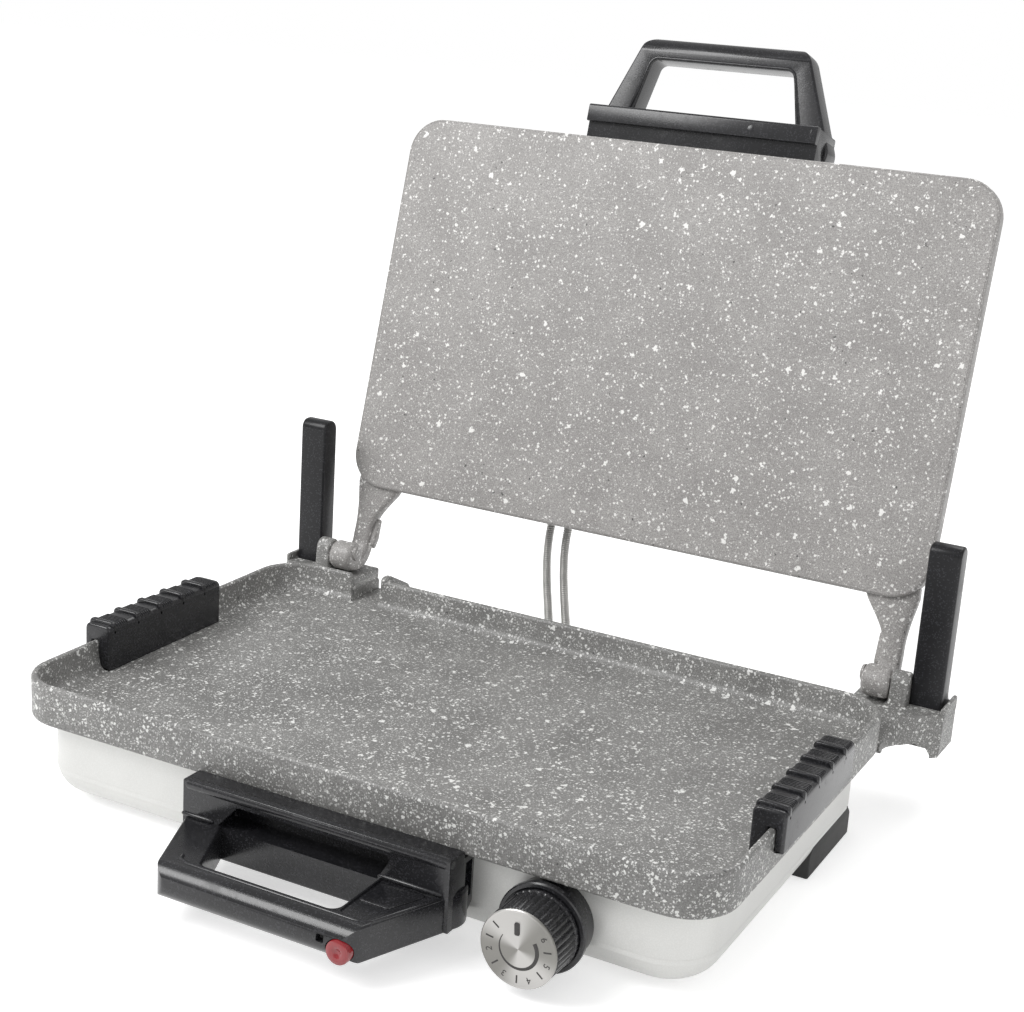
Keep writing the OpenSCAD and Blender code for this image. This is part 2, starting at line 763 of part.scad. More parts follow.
module terminal_block() {
    color(ceramic) difference() {
        block(terminal_x - 30, terminal_y - 24, pan_z + sheet, terminal_x + 6, terminal_y, pan_z + sheet + 14);
        for (x = terminals) bar_z(pan_z + sheet + 6, pan_z + 20, x, terminal_y - 12, 2 + seat_fit);
        for (x = terminals) bar_y(terminal_y - 25, terminal_y + 1, x, pan_z + sheet + 5, lead_r + 0.1);
    }
}

module terminal_screws() {
    color(brass) for (x = terminals) bar_z(pan_z + sheet + 6.7, pan_z + sheet + 12.5, x, terminal_y - 12, 2);
}

// Lead from the mains gland, down and forward into the terminal block
module lead_mains() {
    color(wire_red) union() {
        bar_y(pan_back - 18, pan_back - 5, gland_x, gland_z, lead_r);
        translate([gland_x, pan_back - 18, gland_z - lead_bend]) lead_turn([90, 0, -90]);
        bar_z(lead_z + lead_bend, gland_z - lead_bend, gland_x, pan_back - 18 - lead_bend, lead_r);
        translate([gland_x, pan_back - 18 - 2 * lead_bend, lead_z + lead_bend]) lead_turn([0, 90, 0]);
        bar_y(terminal_y - 3, pan_back - 18 - 2 * lead_bend, gland_x, lead_z, lead_r);
    }
}

// Lead from the terminal block forward, across, and up to the thermostat's tab
module lead_thermostat() {
    y = pan_inset + 33;
    x = knob_x - 9;
    color(wire_red) union() {
        bar_y(y + lead_bend, terminal_y - 21, gland_x, lead_z, lead_r);
        translate([gland_x + lead_bend, y + lead_bend, lead_z]) lead_turn([0, 0, 180]);
        bar_x(gland_x + lead_bend, x - lead_bend, y, lead_z, lead_r);
        translate([x - lead_bend, y, lead_z + lead_bend]) lead_turn([90, 90, 0]);
        bar_z(lead_z + lead_bend, tab_z, x, y, lead_r);
    }
}

// Quarter bend of a lead
module lead_turn(a) {
    rotate(a) rotate_extrude(angle = 90) translate([lead_bend, 0]) circle(lead_r, $fn = 32);
}

// Screwed sleeves that hold the conduits' ends in the walls
module ferrule_body() {
    difference() {
        union() {
            rotate([-90, 0, 0]) cylinder(r = 4, h = ferrule_l);
            rotate([-90, 0, 0]) cylinder(r = 5.6, h = 3, $fn = 6);
            translate([0, -sheet - 2, 0]) rotate([-90, 0, 0]) cylinder(r = 4, h = sheet + 2.1);
            translate([0, -sheet - 2, 0]) rotate([-90, 0, 0]) cylinder(r = 5.2, h = 2, $fn = 6);
        }
        translate([0, 1, 0]) rotate([-90, 0, 0]) cylinder(r = conduit_r + run_fit, h = ferrule_l);
        translate([0, -8, 0]) rotate([-90, 0, 0]) cylinder(r = 1.6, h = 12);
    }
}

module base_ferrules() {
    color(zinc) for (i = [0, 1]) {
        translate([base_ferrule_x + i * conduit_gap, pan_back, base_ferrule_z]) ferrule_body();
    }
}

module lid_ferrules() {
    color(zinc) for (i = [0, 1]) {
        translate([lid_ferrule_x + i * conduit_gap, cover_back, lid_ferrule_z]) ferrule_body();
    }
}

// Route of a conduit with the lid open: straight out of the lid's ferrule, round in one even bend,
// and straight into the base's ferrule
function opened(p) = [
    p[0],
    hinge_y + cos(open_angle) * (p[1] - hinge_y) + sin(open_angle) * (p[2] - hinge_z),
    hinge_z - sin(open_angle) * (p[1] - hinge_y) + cos(open_angle) * (p[2] - hinge_z)
];
function bezier(a, b, c, d, t) = pow(1 - t, 3) * a + 3 * t * pow(1 - t, 2) * b + 3 * t * t * (1 - t) * c + t * t * t * d;
function unit(v) = v / norm(v);

rib_pitch = 1.9;
straight_l = 14;
ribs_in_bend = 52;

// Centre line of conduit number i, as a list of points one half rib apart
function route(i) =
    let (a0 = opened([lid_ferrule_x + i * conduit_gap, cover_back + 1.02, lid_ferrule_z]))
    let (a1 = opened([lid_ferrule_x + i * conduit_gap, cover_back + 1.02 + straight_l, lid_ferrule_z]))
    let (b0 = [base_ferrule_x + i * conduit_gap, pan_back + 1.02, base_ferrule_z])
    let (b1 = b0 + [0, straight_l, 0])
    let (k = norm(a1 - b1) * 0.38)
    let (n = 2 * ribs_in_bend)
    let (m = 14)
    concat(
        [for (j = [0 : m - 1]) a0 + (a1 - a0) * j / m],
        [for (j = [0 : n]) bezier(a1, a1 + unit(a1 - a0) * k, b1 + [0, k, 0], b1, j / n)],
        [for (j = [1 : m]) b1 + (b0 - b1) * j / m]
    );

function ring(p, t, r) =
    let (e = unit(cross(t, [1, 0, 0])))
    let (f = cross(e, t))
    [for (a = [0 : 45 : 315]) p + r * cos(a) * e + r * sin(a) * f];

module ribbed_hose(path, r_out, r_low, r_bore) {
    n = len(path);
    t = [for (j = [0 : n - 1]) unit(path[min(j + 1, n - 1)] - path[max(j - 1, 0)])];
    outer = [for (j = [0 : n - 1]) each ring(path[j], t[j], j % 2 == 0 ? r_low : r_out)];
    inner = [for (j = [0 : n - 1]) each ring(path[j], t[j], r_bore)];
    s = 8;
    o = n * s;
    skin = [for (j = [0 : n - 2]) for (k = [0 : s - 1]) [j * s + k, j * s + (k + 1) % s, (j + 1) * s + (k + 1) % s, (j + 1) * s + k]];
    bore = [for (f = skin) [o + f[3], o + f[2], o + f[1], o + f[0]]];
    first = [for (k = [0 : s - 1]) [k, o + k, o + (k + 1) % s, (k + 1) % s]];
    q = (n - 1) * s;
    last = [for (k = [0 : s - 1]) [q + k, q + (k + 1) % s, o + q + (k + 1) % s, o + q + k]];
    quads = concat(skin, bore, first, last);
    tris = [for (f = quads) each [[f[0], f[1], f[2]], [f[0], f[2], f[3]]]];
    polyhedron(concat(outer, inner), tris);
}

module conduit_left() {
    color(zinc) ribbed_hose(route(0), conduit_r, conduit_r - 0.5, 1.5);
}

module conduit_right() {
    color(zinc) ribbed_hose(route(1), conduit_r, conduit_r - 0.5, 1.5);
}

// Cast lid plate with its two gooseneck arms
module lid_plate() {
    color(pale_stone) difference() {
        union() {
            translate([0, 0, lid_z]) linear_extrude(lid_t) plan_box(-lid_x, lid_front, lid_x, lid_back, lid_r);
            both_sides() lid_arm();
        }
        lid_pocket();
        both_sides() bar_x(arm_in - 5, arm_out + 5, hinge_y, hinge_z, pin_r + run_fit);
        clamp_places() bar_z(lid_z + lid_skin - 2.5, lid_top + 1, 0, 0, 1.5 + seat_fit);
    }
    color(pale_stone) difference() {
        boss_places() bar_z(lid_z + lid_skin - 0.5, cover_top - sheet, 0, 0, boss_r);
        boss_places() bar_z(cover_top - 22, cover_top, 0, 0, 2 + seat_fit);
    }
}

module lid_pocket() {
    translate([0, 0, lid_z + lid_skin]) linear_extrude(lid_t) plan_box(-cover_x + 5, cover_front + 5, cover_x - 5, cover_back - 5, 12);
}

module lid_arm() {
    block(arm_in, lid_back - 14, arm_top - arm_t, arm_out, arm_bend_y, arm_top);
    translate([arm_in, arm_bend_y, arm_bend_z]) rotate([90, 0, 90]) quarter_arch(arm_bend_r, arm_t, arm_w);
    block(arm_in, arm_bend_y + arm_bend_r - arm_t, hinge_z, arm_out, arm_bend_y + arm_bend_r, arm_bend_z);
    bar_x(arm_in, arm_out, hinge_y, hinge_z, hub_r);
    translate([0, 0, arm_top - arm_t + 0.5]) linear_extrude(arm_t - 1) polygon([
        [arm_in - 13, lid_back - 4], [arm_in - 1, lid_back - 13], [arm_out + 2.5, lid_back - 13],
        [arm_out + 2.5, lid_back - 2], [arm_out - 0.5, lid_back + 20],
        [arm_in + 0.5, lid_back + 20]
    ]);
}

// Quarter of a flat ring, standing from the x axis to the y axis
module quarter_arch(r, t, w) {
    rotate_extrude(angle = 90) translate([r - t, 0]) square([t, w]);
}

// Drawn cover over the lid's element, closed side away from the cooking face
module lid_cover() {
    color(silver) difference() {
        translate([0, 0, lid_top + cover_top]) mirror([0, 0, 1]) difference() {
            drawn_pan(cover_x, cover_front, cover_back, lid_top, cover_h, 24, cover_edge_r);
            drawn_pan(cover_x - sheet, cover_front + sheet, cover_back - sheet, lid_top + sheet, cover_h, 24 - sheet, cover_edge_r - sheet);
        }
        boss_places() bar_z(cover_top - 4, cover_top + 2, 0, 0, 2.3);
        for (i = [0, 1]) bar_y(cover_back - 3, cover_back + 2, lid_ferrule_x + i * conduit_gap, lid_ferrule_z, 4 + seat_fit);
        for (x = [-handle_screw_x, handle_screw_x]) bar_y(cover_front - 2, cover_front + 3, x, lid_screw_z, 2.1);
    }
}

lid_screw_z = lid_handle_z + handle_screw_drop;

module cover_screws() {
    color(zinc) boss_places() translate([0, 0, cover_top]) mirror([0, 0, 1]) screw_up(0, cover_screw_l, 2);
}

module upper_element() {
    color(steel) serpentine(lid_z + lid_skin + tube_r, lower_run_y, 1);
}

module upper_element_clamps() {
    z = lid_z + lid_skin + 2 * tube_r;
    color(zinc) for (x = [-clamp_x, 0, clamp_x]) {
        difference() {
            clamp_strip(x, z);
            for (i = [0.5, 2.5]) bar_z(z - 1, z + 3, x, lower_run_y + i * run_pitch, 1.5 + seat_fit);
        }
    }
}

module upper_clamp_screws() {
    z = lid_z + lid_skin + 2 * tube_r + 1.5;
    color(zinc) clamp_places() translate([0, 0, z]) mirror([0, 0, 1]) screw_up(0, 2 * tube_r + 3.5, 1.5);
}

module upper_heat_shield() {
    z = lid_top + 14;
    color(steel) difference() {
        translate([0, 0, z]) linear_extrude(0.8) plan_box(-cover_x + 14, cover_front + 14, cover_x - 14, cover_back - 14, 14);
        boss_places() bar_z(z - 1, z + 2, 0, 0, boss_r + seat_fit);
        for (i = [0, 3]) bar_z(z - 1, z + 2, cold_x, lower_run_y + i * run_pitch, tube_r + 2);
    }
}

module lid_handle() {
    place_lid_handle() handle(lid_hole, -13, -3.9, cover_front - lid_handle_y);
}

module lid_handle_screws() {
    color(zinc) for (x = [-handle_screw_x, handle_screw_x]) {
        bar_y(cover_front - 12, cover_front + sheet, x, lid_screw_z, 1.8);
        bar_y(cover_front + sheet, cover_front + sheet + 2, x, lid_screw_z, 3.6);
    }
}

on_base() housing_pan();
on_base() griddle_tray();
on_base() tray_screws();
on_base() lower_element();
on_base() lower_element_clamps();
on_base() lower_clamp_screws();
on_base() lower_heat_shield();
on_base() thermostat();
on_base() thermostat_nut();
on_base() knob_bezel();
on_base() thermostat_shaft();
on_base() knob_skirt();
on_base() knob_disc();
on_base() base_handle();
on_base() base_wire_cover();
on_base() base_handle_screws();
on_base() indicator_lens();
on_base() lamp_holder();
on_base() mirror([1, 0, 0]) side_grip();  // side_grip_left
on_base() side_grip();  // side_grip_right
on_base() mirror([1, 0, 0]) rear_post();  // rear_post_left
on_base() rear_post();  // rear_post_right
on_base() post_screws();
on_base() hinge_pins();
on_base() front_feet();
on_base() mirror([1, 0, 0]) rear_foot();  // rear_foot_left
on_base() rear_foot();  // rear_foot_right
on_base() feet_screws();
on_base() mains_gland();
on_base() terminal_block();
on_base() terminal_screws();
on_base() lead_mains();
on_base() lead_thermostat();
on_base() base_ferrules();
on_base() conduit_left();
on_base() conduit_right();
on_lid() lid_plate();
on_lid() lid_cover();
on_lid() cover_screws();
on_lid() upper_element();
on_lid() upper_element_clamps();
on_lid() upper_clamp_screws();
on_lid() upper_heat_shield();
on_lid() lid_handle();
on_lid() lid_handle_screws();
on_lid() lid_ferrules();
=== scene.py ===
"""Looks of an electric countertop pizza maker: griddle tray, hinged lid, handles, dial and conduits."""

from math import acos, atan2, cos, hypot, pi, radians, sin, sqrt

import bmesh
import bpy
from mathutils import Matrix, Vector


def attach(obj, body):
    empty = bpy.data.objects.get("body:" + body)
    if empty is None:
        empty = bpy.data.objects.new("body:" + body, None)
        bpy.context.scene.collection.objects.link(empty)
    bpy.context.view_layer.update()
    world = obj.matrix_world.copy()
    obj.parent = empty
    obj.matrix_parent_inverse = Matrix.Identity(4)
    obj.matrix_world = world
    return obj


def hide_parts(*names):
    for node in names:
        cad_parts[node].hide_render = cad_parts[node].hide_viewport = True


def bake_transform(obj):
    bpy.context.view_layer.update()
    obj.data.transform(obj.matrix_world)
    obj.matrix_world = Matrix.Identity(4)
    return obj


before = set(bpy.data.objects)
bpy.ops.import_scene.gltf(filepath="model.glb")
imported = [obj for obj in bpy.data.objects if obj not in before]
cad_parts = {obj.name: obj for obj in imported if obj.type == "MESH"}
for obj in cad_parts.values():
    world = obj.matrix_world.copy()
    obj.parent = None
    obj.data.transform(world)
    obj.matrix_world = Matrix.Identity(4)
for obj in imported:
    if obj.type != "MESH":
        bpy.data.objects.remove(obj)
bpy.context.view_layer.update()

# Design frame: millimetres, y = 0 at the tray's front face, z = 0 at the table
Y_MID = 186.52883
TRAY_X, TRAY_D, TRAY_Z, FLOOR_Z, RIM_Z = 200.0, 253.0, 47.2, 53.5, 70.0
PAN_X, PAN_FRONT, PAN_BACK, PAN_Z = 190.7, 9.3, 243.7, 4.3
HINGE_Y, HINGE_Z = 290.8, 68.25
LID_X, LID_FRONT, LID_BACK, LID_Z, LID_TOP = 193.7, 4.1, 246.9, 81.3, 93.3
COVER_X, COVER_FRONT, COVER_BACK, COVER_TOP = 184.1, 13.7, 237.3, 126.3
LEDGE_Z, EAR_TOP, EAR_X, EAR_BACK = 54.0, 55.8, 221.0, 312.0
KNOB_X, KNOB_Z, KNOB_FACE = 118.0, 25.4, -24.5
BRACKET_Z, LID_HANDLE_Z, LOOP_H, BAR_OUT = 13.0, 89.5, 18.5, 64.0
POST_TOP = 150.5
FLOOR_GLOW = 0.55
BAND_STEP, RIB_STEP = 20.2, 1.62
OPEN = radians(105)


def on_base(p):
    """Design point to metres in the row frame."""
    return Vector((p[0], p[1] - Y_MID, p[2])) / 1000


def on_lid(p):
    """Point on the shut lid, turned back to the standing pose, in metres."""
    dy, dz = p[1] - HINGE_Y, p[2] - HINGE_Z
    return on_base((p[0], HINGE_Y + cos(OPEN) * dy + sin(OPEN) * dz, HINGE_Z - sin(OPEN) * dy + cos(OPEN) * dz))


# ---------- shader helpers ----------


class Socket:
    """A shader value that can be added, multiplied and compared like a number."""

    def __init__(self, tree, link):
        self.tree, self.link = tree, link

    def math(self, operation, *others, clamp=False):
        node = self.tree.nodes.new("ShaderNodeMath")
        node.operation = operation
        node.use_clamp = clamp
        for place, value in zip(node.inputs, (self, *others)):
            if isinstance(value, Socket):
                self.tree.links.new(value.link, place)
            else:
                place.default_value = value
        return Socket(self.tree, node.outputs[0])

    def __add__(self, other):
        return self.math("ADD", other)

    def __sub__(self, other):
        return self.math("SUBTRACT", other)

    def __mul__(self, other):
        return self.math("MULTIPLY", other)

    def __truediv__(self, other):
        return self.math("DIVIDE", other)

    def __gt__(self, other):
        return self.math("GREATER_THAN", other)

    def __lt__(self, other):
        return self.math("LESS_THAN", other)

    def __radd__(self, other):
        return self + other

    def __rmul__(self, other):
        return self * other

    def __rsub__(self, other):
        return (self * -1.0) + other

    def smooth(self, low, high):
        """0 below low, 1 above high, with a soft step between."""
        node = self.tree.nodes.new("ShaderNodeMapRange")
        node.interpolation_type = "SMOOTHSTEP"
        self.tree.links.new(self.link, node.inputs["Value"])
        node.inputs["From Min"].default_value = low
        node.inputs["From Max"].default_value = high
        return Socket(self.tree, node.outputs["Result"])


class Finish:
    """One material being built: makes nodes and wires the surface shader."""

    def __init__(self, name):
        self.material = bpy.data.materials.new(name)
        self.material.use_nodes = True
        self.tree = self.material.node_tree
        self.surface = self.tree.nodes["Principled BSDF"]

    def node(self, kind, settings=None, inputs=None, output=0):
        made = self.tree.nodes.new(kind)
        for key, value in (settings or {}).items():
            setattr(made, key, value)
        for key, value in (inputs or {}).items():
            self.feed(made.inputs[key], value)
        return Socket(self.tree, made.outputs[output])

    def feed(self, place, value):
        if isinstance(value, Socket):
            self.tree.links.new(value.link, place)
        else:
            place.default_value = value

    def place(self):
        """Object coordinates in metres."""
        return self.node("ShaderNodeTexCoord", output="Object")

    def stretched(self, scale):
        return self.node("ShaderNodeMapping", {"vector_type": "POINT"}, {"Vector": self.place(), "Scale": scale})

    def noise(self, scale, detail=3.0, rough=0.5, at=None):
        values = {"Vector": at or self.place(), "Scale": scale, "Detail": detail, "Roughness": rough}
        return self.node("ShaderNodeTexNoise", None, values, "Fac")

    def cells(self, scale, at=None, output="Distance"):
        return self.node("ShaderNodeTexVoronoi", {"feature": "F1"}, {"Vector": at or self.place(), "Scale": scale}, output)

    def mix(self, amount, a, b):
        """Colour a where amount is 0, colour b where it is 1."""
        made = self.tree.nodes.new("ShaderNodeMix")
        made.data_type = "RGBA"
        self.feed(made.inputs[0], amount)
        for index, value in ((6, a), (7, b)):
            self.feed(made.inputs[index], value if isinstance(value, Socket) else (*value, 1.0))
        return Socket(self.tree, made.outputs[2])

    def channel(self, colour, index):
        return self.node("ShaderNodeSeparateColor", None, {"Color": colour}, index)

    def bump(self, height, strength=0.2, distance=0.001):
        values = {"Height": height, "Strength": strength, "Distance": distance}
        return self.node("ShaderNodeBump", None, values, "Normal")

    def set(self, **values):
        names = {"base": "Base Color", "rough": "Roughness", "metal": "Metallic", "normal": "Normal", "coat": "Coat Weight"}
        names.update(coat_rough="Coat Roughness", ior="IOR", through="Transmission Weight", glow="Emission Strength")
        names.update(glow_color="Emission Color", specular="Specular IOR Level")
        for key, value in values.items():
            self.feed(self.surface.inputs[names[key]], value)
        return self.material


def specks(finish, scale, share, low, high, wobble, spread=0.004):
    """Mask of irregular specks: cells whose own random number is under share, with edges pushed about by noise."""
    pushed = finish.node(
        "ShaderNodeVectorMath",
        {"operation": "MULTIPLY_ADD"},
        {0: finish.node("ShaderNodeTexNoise", None, {"Vector": finish.place(), "Scale": wobble, "Detail": 2.0}, "Color"),
         1: (spread, spread, spread), 2: finish.place()},
        "Vector",
    )
    chance = finish.channel(finish.cells(scale, pushed, "Color"), 0)
    size = finish.channel(finish.cells(scale, pushed, "Color"), 1)
    reach = size * (high - low) + low
    spot = (reach - finish.cells(scale, pushed)).smooth(0.0, 0.08)
    return spot * (chance < share)


def stone_coating(name, ground, dark, pale, density, rough):
    """Speckled non-stick coating on a casting: fine grain, small pale specks, scattered blotches and a few dark ones."""
    f = Finish(name)
    cloud = f.noise(28.0, 4.0)
    base = f.mix(cloud.smooth(0.3, 0.7), ground, dark)
    grain = f.noise(1500.0, 2.0)
    base = f.mix(grain.smooth(0.44, 0.58) * 0.62, base, [v * 0.58 for v in dark])
    fine = specks(f, 900.0, 0.44 * density, 0.20, 0.52, 1300.0, 0.0010)
    medium = specks(f, 480.0, 0.30 * density, 0.16, 0.50, 800.0, 0.0022)
    large = specks(f, 210.0, 0.13 * density, 0.10, 0.42, 520.0, 0.0048)
    black = specks(f, 300.0, 0.10, 0.08, 0.26, 520.0, 0.0030)
    base = f.mix(fine * 0.60, base, [v * 0.88 for v in pale])
    base = f.mix(medium * 0.85, base, pale)
    base = f.mix(large * 0.95, base, pale)
    base = f.mix(black * 0.85, base, (0.045, 0.045, 0.045))
    height = f.noise(420.0, 3.0) * 0.6 + medium * 0.25 + large * 0.3
    return f.set(
        base=base, rough=f.noise(60.0) * 0.16 + rough, metal=0.0, normal=f.bump(height, 0.22, 0.0006), coat=0.10,
        coat_rough=0.35,
    )


def satin_silver():
    f = Finish("satin_silver_sheet")
    cloud = f.noise(14.0, 3.0)
    base = f.mix(cloud.smooth(0.3, 0.7), (0.73, 0.73, 0.71), (0.66, 0.66, 0.64))
    grain = f.noise(1600.0, 2.0)
    base = f.mix(grain.smooth(0.4, 0.7) * 0.18, base, (0.88, 0.88, 0.87))
    return f.set(base=base, metal=0.35, rough=f.noise(40.0) * 0.12 + 0.34, normal=f.bump(grain, 0.05, 0.0003))


def black_moulding(name="black_moulding", shade_lift=1.0, rough=0.17, shine=0.5):
    """Moulded phenolic: near black, with painted glint specks in a fine grain and soft rubbed patches."""
    f = Finish(name)
    cloud = f.noise(35.0, 4.0)
    # shade_lift scales the base colour; below 1 it is painted shade
    base = f.mix(cloud.smooth(0.3, 0.7), (0.011 * shade_lift, 0.011 * shade_lift, 0.0125 * shade_lift), (0.017 * shade_lift, 0.017 * shade_lift, 0.019 * shade_lift))
    # painted glint: a few grain cells lightened in the base colour as sparkle highlights
    painted_glint = f.cells(1500.0, output="Color")
    base = f.mix((f.channel(painted_glint, 0) < 0.14) * 0.30, base, (0.075, 0.075, 0.085))
    skin = f.noise(1100.0, 2.0)
    rub = f.noise(90.0, 5.0).smooth(0.58, 0.75)
    return f.set(
        base=base, rough=cloud * 0.10 + rub * 0.10 + rough, normal=f.bump(skin + cloud * 2.0, 0.07, 0.0003), specular=shine,
        coat=0.0,
    )


def rubber():
    f = Finish("black_foot_rubber")
    grain = f.noise(1200.0, 2.0)
    base = f.mix(f.noise(60.0).smooth(0.3, 0.7), (0.018, 0.018, 0.018), (0.035, 0.035, 0.034))
    return f.set(base=base, rough=grain * 0.1 + 0.62, normal=f.bump(grain, 0.15, 0.0003))


def metal(name, colour, rough, streak=(1.0, 1.0, 1.0), metallic=1.0, tone=0.82):
    """Bare or plated metal with fine marks drawn out along one direction."""
    f = Finish(name)
    marks = f.noise(1.0, 3.0, 0.6, f.stretched(streak))
    cloud = f.noise(90.0, 3.0)
    base = f.mix(cloud.smooth(0.3, 0.7), colour, [v * tone for v in colour])
    return f.set(base=base, metal=metallic, rough=marks * 0.18 + rough, normal=f.bump(marks, 0.08, 0.0002))


def spun_disc():
    """Aluminium dial disc: fine rings about the knob's axis, with painted light and dark fans standing in for the sheen
    of a spun face.
    """
    f = Finish("spun_dial_disc")
    middle = on_base((KNOB_X, 0, KNOB_Z))
    off = f.node("ShaderNodeVectorMath", {"operation": "SUBTRACT"}, {0: f.place(), 1: tuple(middle)}, "Vector")
    split = f.tree.nodes.new("ShaderNodeSeparateXYZ")
    f.tree.links.new(off.link, split.inputs[0])
    x, z = Socket(f.tree, split.outputs["X"]), Socket(f.tree, split.outputs["Z"])
    out = (x * x + z * z).math("SQRT")
    turn = z.math("ARCTAN2", x)
    rings = f.node("ShaderNodeTexNoise", {"noise_dimensions": "1D"}, {"W": out, "Scale": 9000.0, "Detail": 2.0}, "Fac")
    # painted sheen: two light and two dark fans about the axis, put in the base colour where a spun face's reflection
    # would show
    painted_sheen_fans = (turn * 2.0 + 0.6).math("SINE") * 0.5 + 0.5
    base = f.mix(painted_sheen_fans.smooth(0.15, 0.9), (0.50, 0.49, 0.475), (0.22, 0.215, 0.20))
    base = f.mix(rings.smooth(0.4, 0.62) * 0.12, base, (0.38, 0.37, 0.35))
    return f.set(base=base, metal=0.75, rough=rings * 0.16 + 0.26, normal=f.bump(rings, 0.12, 0.0002))


def lens_red():
    f = Finish("red_lens")
    ribs = f.node("ShaderNodeTexWave", {"wave_type": "BANDS", "bands_direction": "X"}, {"Vector": f.place(), "Scale": 420.0}, "Fac")
    base = f.mix(ribs * 0.35, (0.30, 0.018, 0.024), (0.15, 0.005, 0.008))
    return f.set(base=base, rough=ribs * 0.05 + 0.14, coat=0.5, normal=f.bump(ribs, 0.10, 0.0004))


def matt(name, colour, other, scale=120.0, rough=0.6):
    f = Finish(name)
    cloud = f.noise(scale, 4.0)
    base = f.mix(cloud.smooth(0.3, 0.7), colour, other)
    return f.set(base=base, rough=cloud * 0.15 + rough, normal=f.bump(cloud, 0.1, 0.0005))


TRAY_STONE = stone_coating("tray_stone_coating", (0.275, 0.272, 0.264), (0.190, 0.188, 0.182), (0.80, 0.80, 0.78), 1.35, 0.40)
LID_STONE = stone_coating("lid_stone_coating", (0.418, 0.404, 0.393), (0.345, 0.332, 0.323), (0.90, 0.89, 0.87), 0.85, 0.38)
SILVER = satin_silver()
BLACK = black_moulding()
# posts: a copy of the black moulding, rougher and less shiny, with its base colour darkened by shade_lift as painted
# shade
SHADED_POST_BLACK = black_moulding("black_post_moulding_shaded", 0.9, 0.26, 0.30)
RUBBER = rubber()
ZINC = metal("zinc_plate", (0.62, 0.62, 0.60), 0.30, (800.0, 800.0, 90.0))
WINDING = metal("wound_conduit_steel", (0.56, 0.555, 0.54), 0.34, (900.0, 900.0, 900.0))
BRIGHT = metal("bright_steel", (0.66, 0.655, 0.64), 0.24, (900.0, 60.0, 900.0))
BRASS = metal("brass", (0.72, 0.53, 0.24), 0.28, (700.0, 700.0, 200.0))
SPUN = spun_disc()
RED = lens_red()
CERAMIC = matt("ceramic", (0.74, 0.72, 0.66), (0.66, 0.64, 0.58))
SLEEVE = matt("lead_sleeve", (0.42, 0.09, 0.06), (0.30, 0.05, 0.04), 900.0)
INK = matt("dial_ink", (0.028, 0.026, 0.026), (0.045, 0.042, 0.04), 1500.0, 0.45)


# ---------- mesh helpers ----------


def finish_mesh(name, mesh, material, body, nodes=(), smooth=40.0):
    """Puts a finished mesh in the scene, rides it on its body and hides the CAD nodes it stands for."""
    mesh.materials.clear()
    mesh.materials.append(material)
    piece = bpy.data.objects.new(name, mesh)
    bpy.context.scene.collection.objects.link(piece)
    shade(mesh, smooth)
    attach(piece, body)
    if nodes:
        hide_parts(*nodes)
    return piece


def shade(mesh, angle):
    """Smooth faces with sharp edges where they turn by more than angle degrees."""
    made = bmesh.new()
    made.from_mesh(mesh)
    for face in made.faces:
        face.smooth = True
    limit = radians(angle)
    for edge in made.edges:
        edge.smooth = len(edge.link_faces) == 2 and edge.calc_face_angle(0.0) < limit
    made.to_mesh(mesh)
    made.free()


def mesh_from(points, faces, place, name="shape"):
    """Mesh from design points, placed in the row frame, with its faces turned outwards."""
    made = bmesh.new()
    corners = [made.verts.new(place(p)) for p in points]
    for face in faces:
        if len(set(face)) > 2:
            try:
                made.faces.new([corners[i] for i in face])
            except ValueError:
                pass
    bmesh.ops.remove_doubles(made, verts=made.verts, dist=2e-7)
    bmesh.ops.recalc_face_normals(made, faces=made.faces)
    mesh = bpy.data.meshes.new(name)
    made.to_mesh(mesh)
    made.free()
    return mesh


def joined(meshes, name="group"):
    """Several closed meshes as one mesh."""
    made = bmesh.new()
    for mesh in meshes:
        made.from_mesh(mesh)
    out = bpy.data.meshes.new(name)
    made.to_mesh(out)
    made.free()
    return out


def applied(mesh, *modifiers):
    """The mesh with these modifiers applied: pairs of a kind and its settings."""
    holder = bpy.data.objects.new("holder", mesh)
    bpy.context.scene.collection.objects.link(holder)
    for kind, settings in modifiers:
        modifier = holder.modifiers.new(kind.lower(), kind)
        for key, value in settings.items():
            setattr(modifier, key, value)
    seen = holder.evaluated_get(bpy.context.evaluated_depsgraph_get())
    out = bpy.data.meshes.new_from_object(seen)
    bpy.data.objects.remove(holder)
    return out


def bevelled(mesh, width, segments=3, angle=30.0):
    settings = {"width": width / 1000, "segments": segments, "limit_method": "ANGLE", "angle_limit": radians(angle)}
    return applied(mesh, ("BEVEL", {**settings, "use_clamp_overlap": True}))


def cut(mesh, *cutters):
    """Cuts the cutters' shapes out of the mesh."""
    holders = []
    for cutter in cutters:
        holder = bpy.data.objects.new("cutter", cutter)
        bpy.context.scene.collection.objects.link(holder)
        holders.append(holder)
    out = mesh
    for holder in holders:
        out = applied(out, ("BOOLEAN", {"operation": "DIFFERENCE", "solver": "MANIFOLD", "object": holder}))
    for holder in holders:
        bpy.data.objects.remove(holder)
    return out


def rounded(points, radii, steps=6):
    """Outline with each corner rounded by its own radius."""
    out = []
    n = len(points)
    radii = radii if isinstance(radii, (list, tuple)) else [radii] * n
    for i in range(n):
        p, a, b = Vector(points[i]), Vector(points[i - 1]), Vector(points[(i + 1) % n])
        r = radii[i]
        if r < 1e-6:
            out.append(tuple(p))
            continue
        u, v = (a - p).normalized(), (b - p).normalized()
        half = acos(max(-1.0, min(1.0, u.dot(v)))) / 2
        reach = r / max(1e-6, abs(sin(half) / cos(half)))
        middle = p + (u + v).normalized() * (r / sin(half))
        start, end = p + u * reach - middle, p + v * reach - middle
        turn = atan2(start.x * end.y - start.y * end.x, start.dot(end))
        for k in range(steps + 1):
            a_ = turn * k / steps
            out.append((middle.x + start.x * cos(a_) - start.y * sin(a_), middle.y + start.x * sin(a_) + start.y * cos(a_)))
    return out


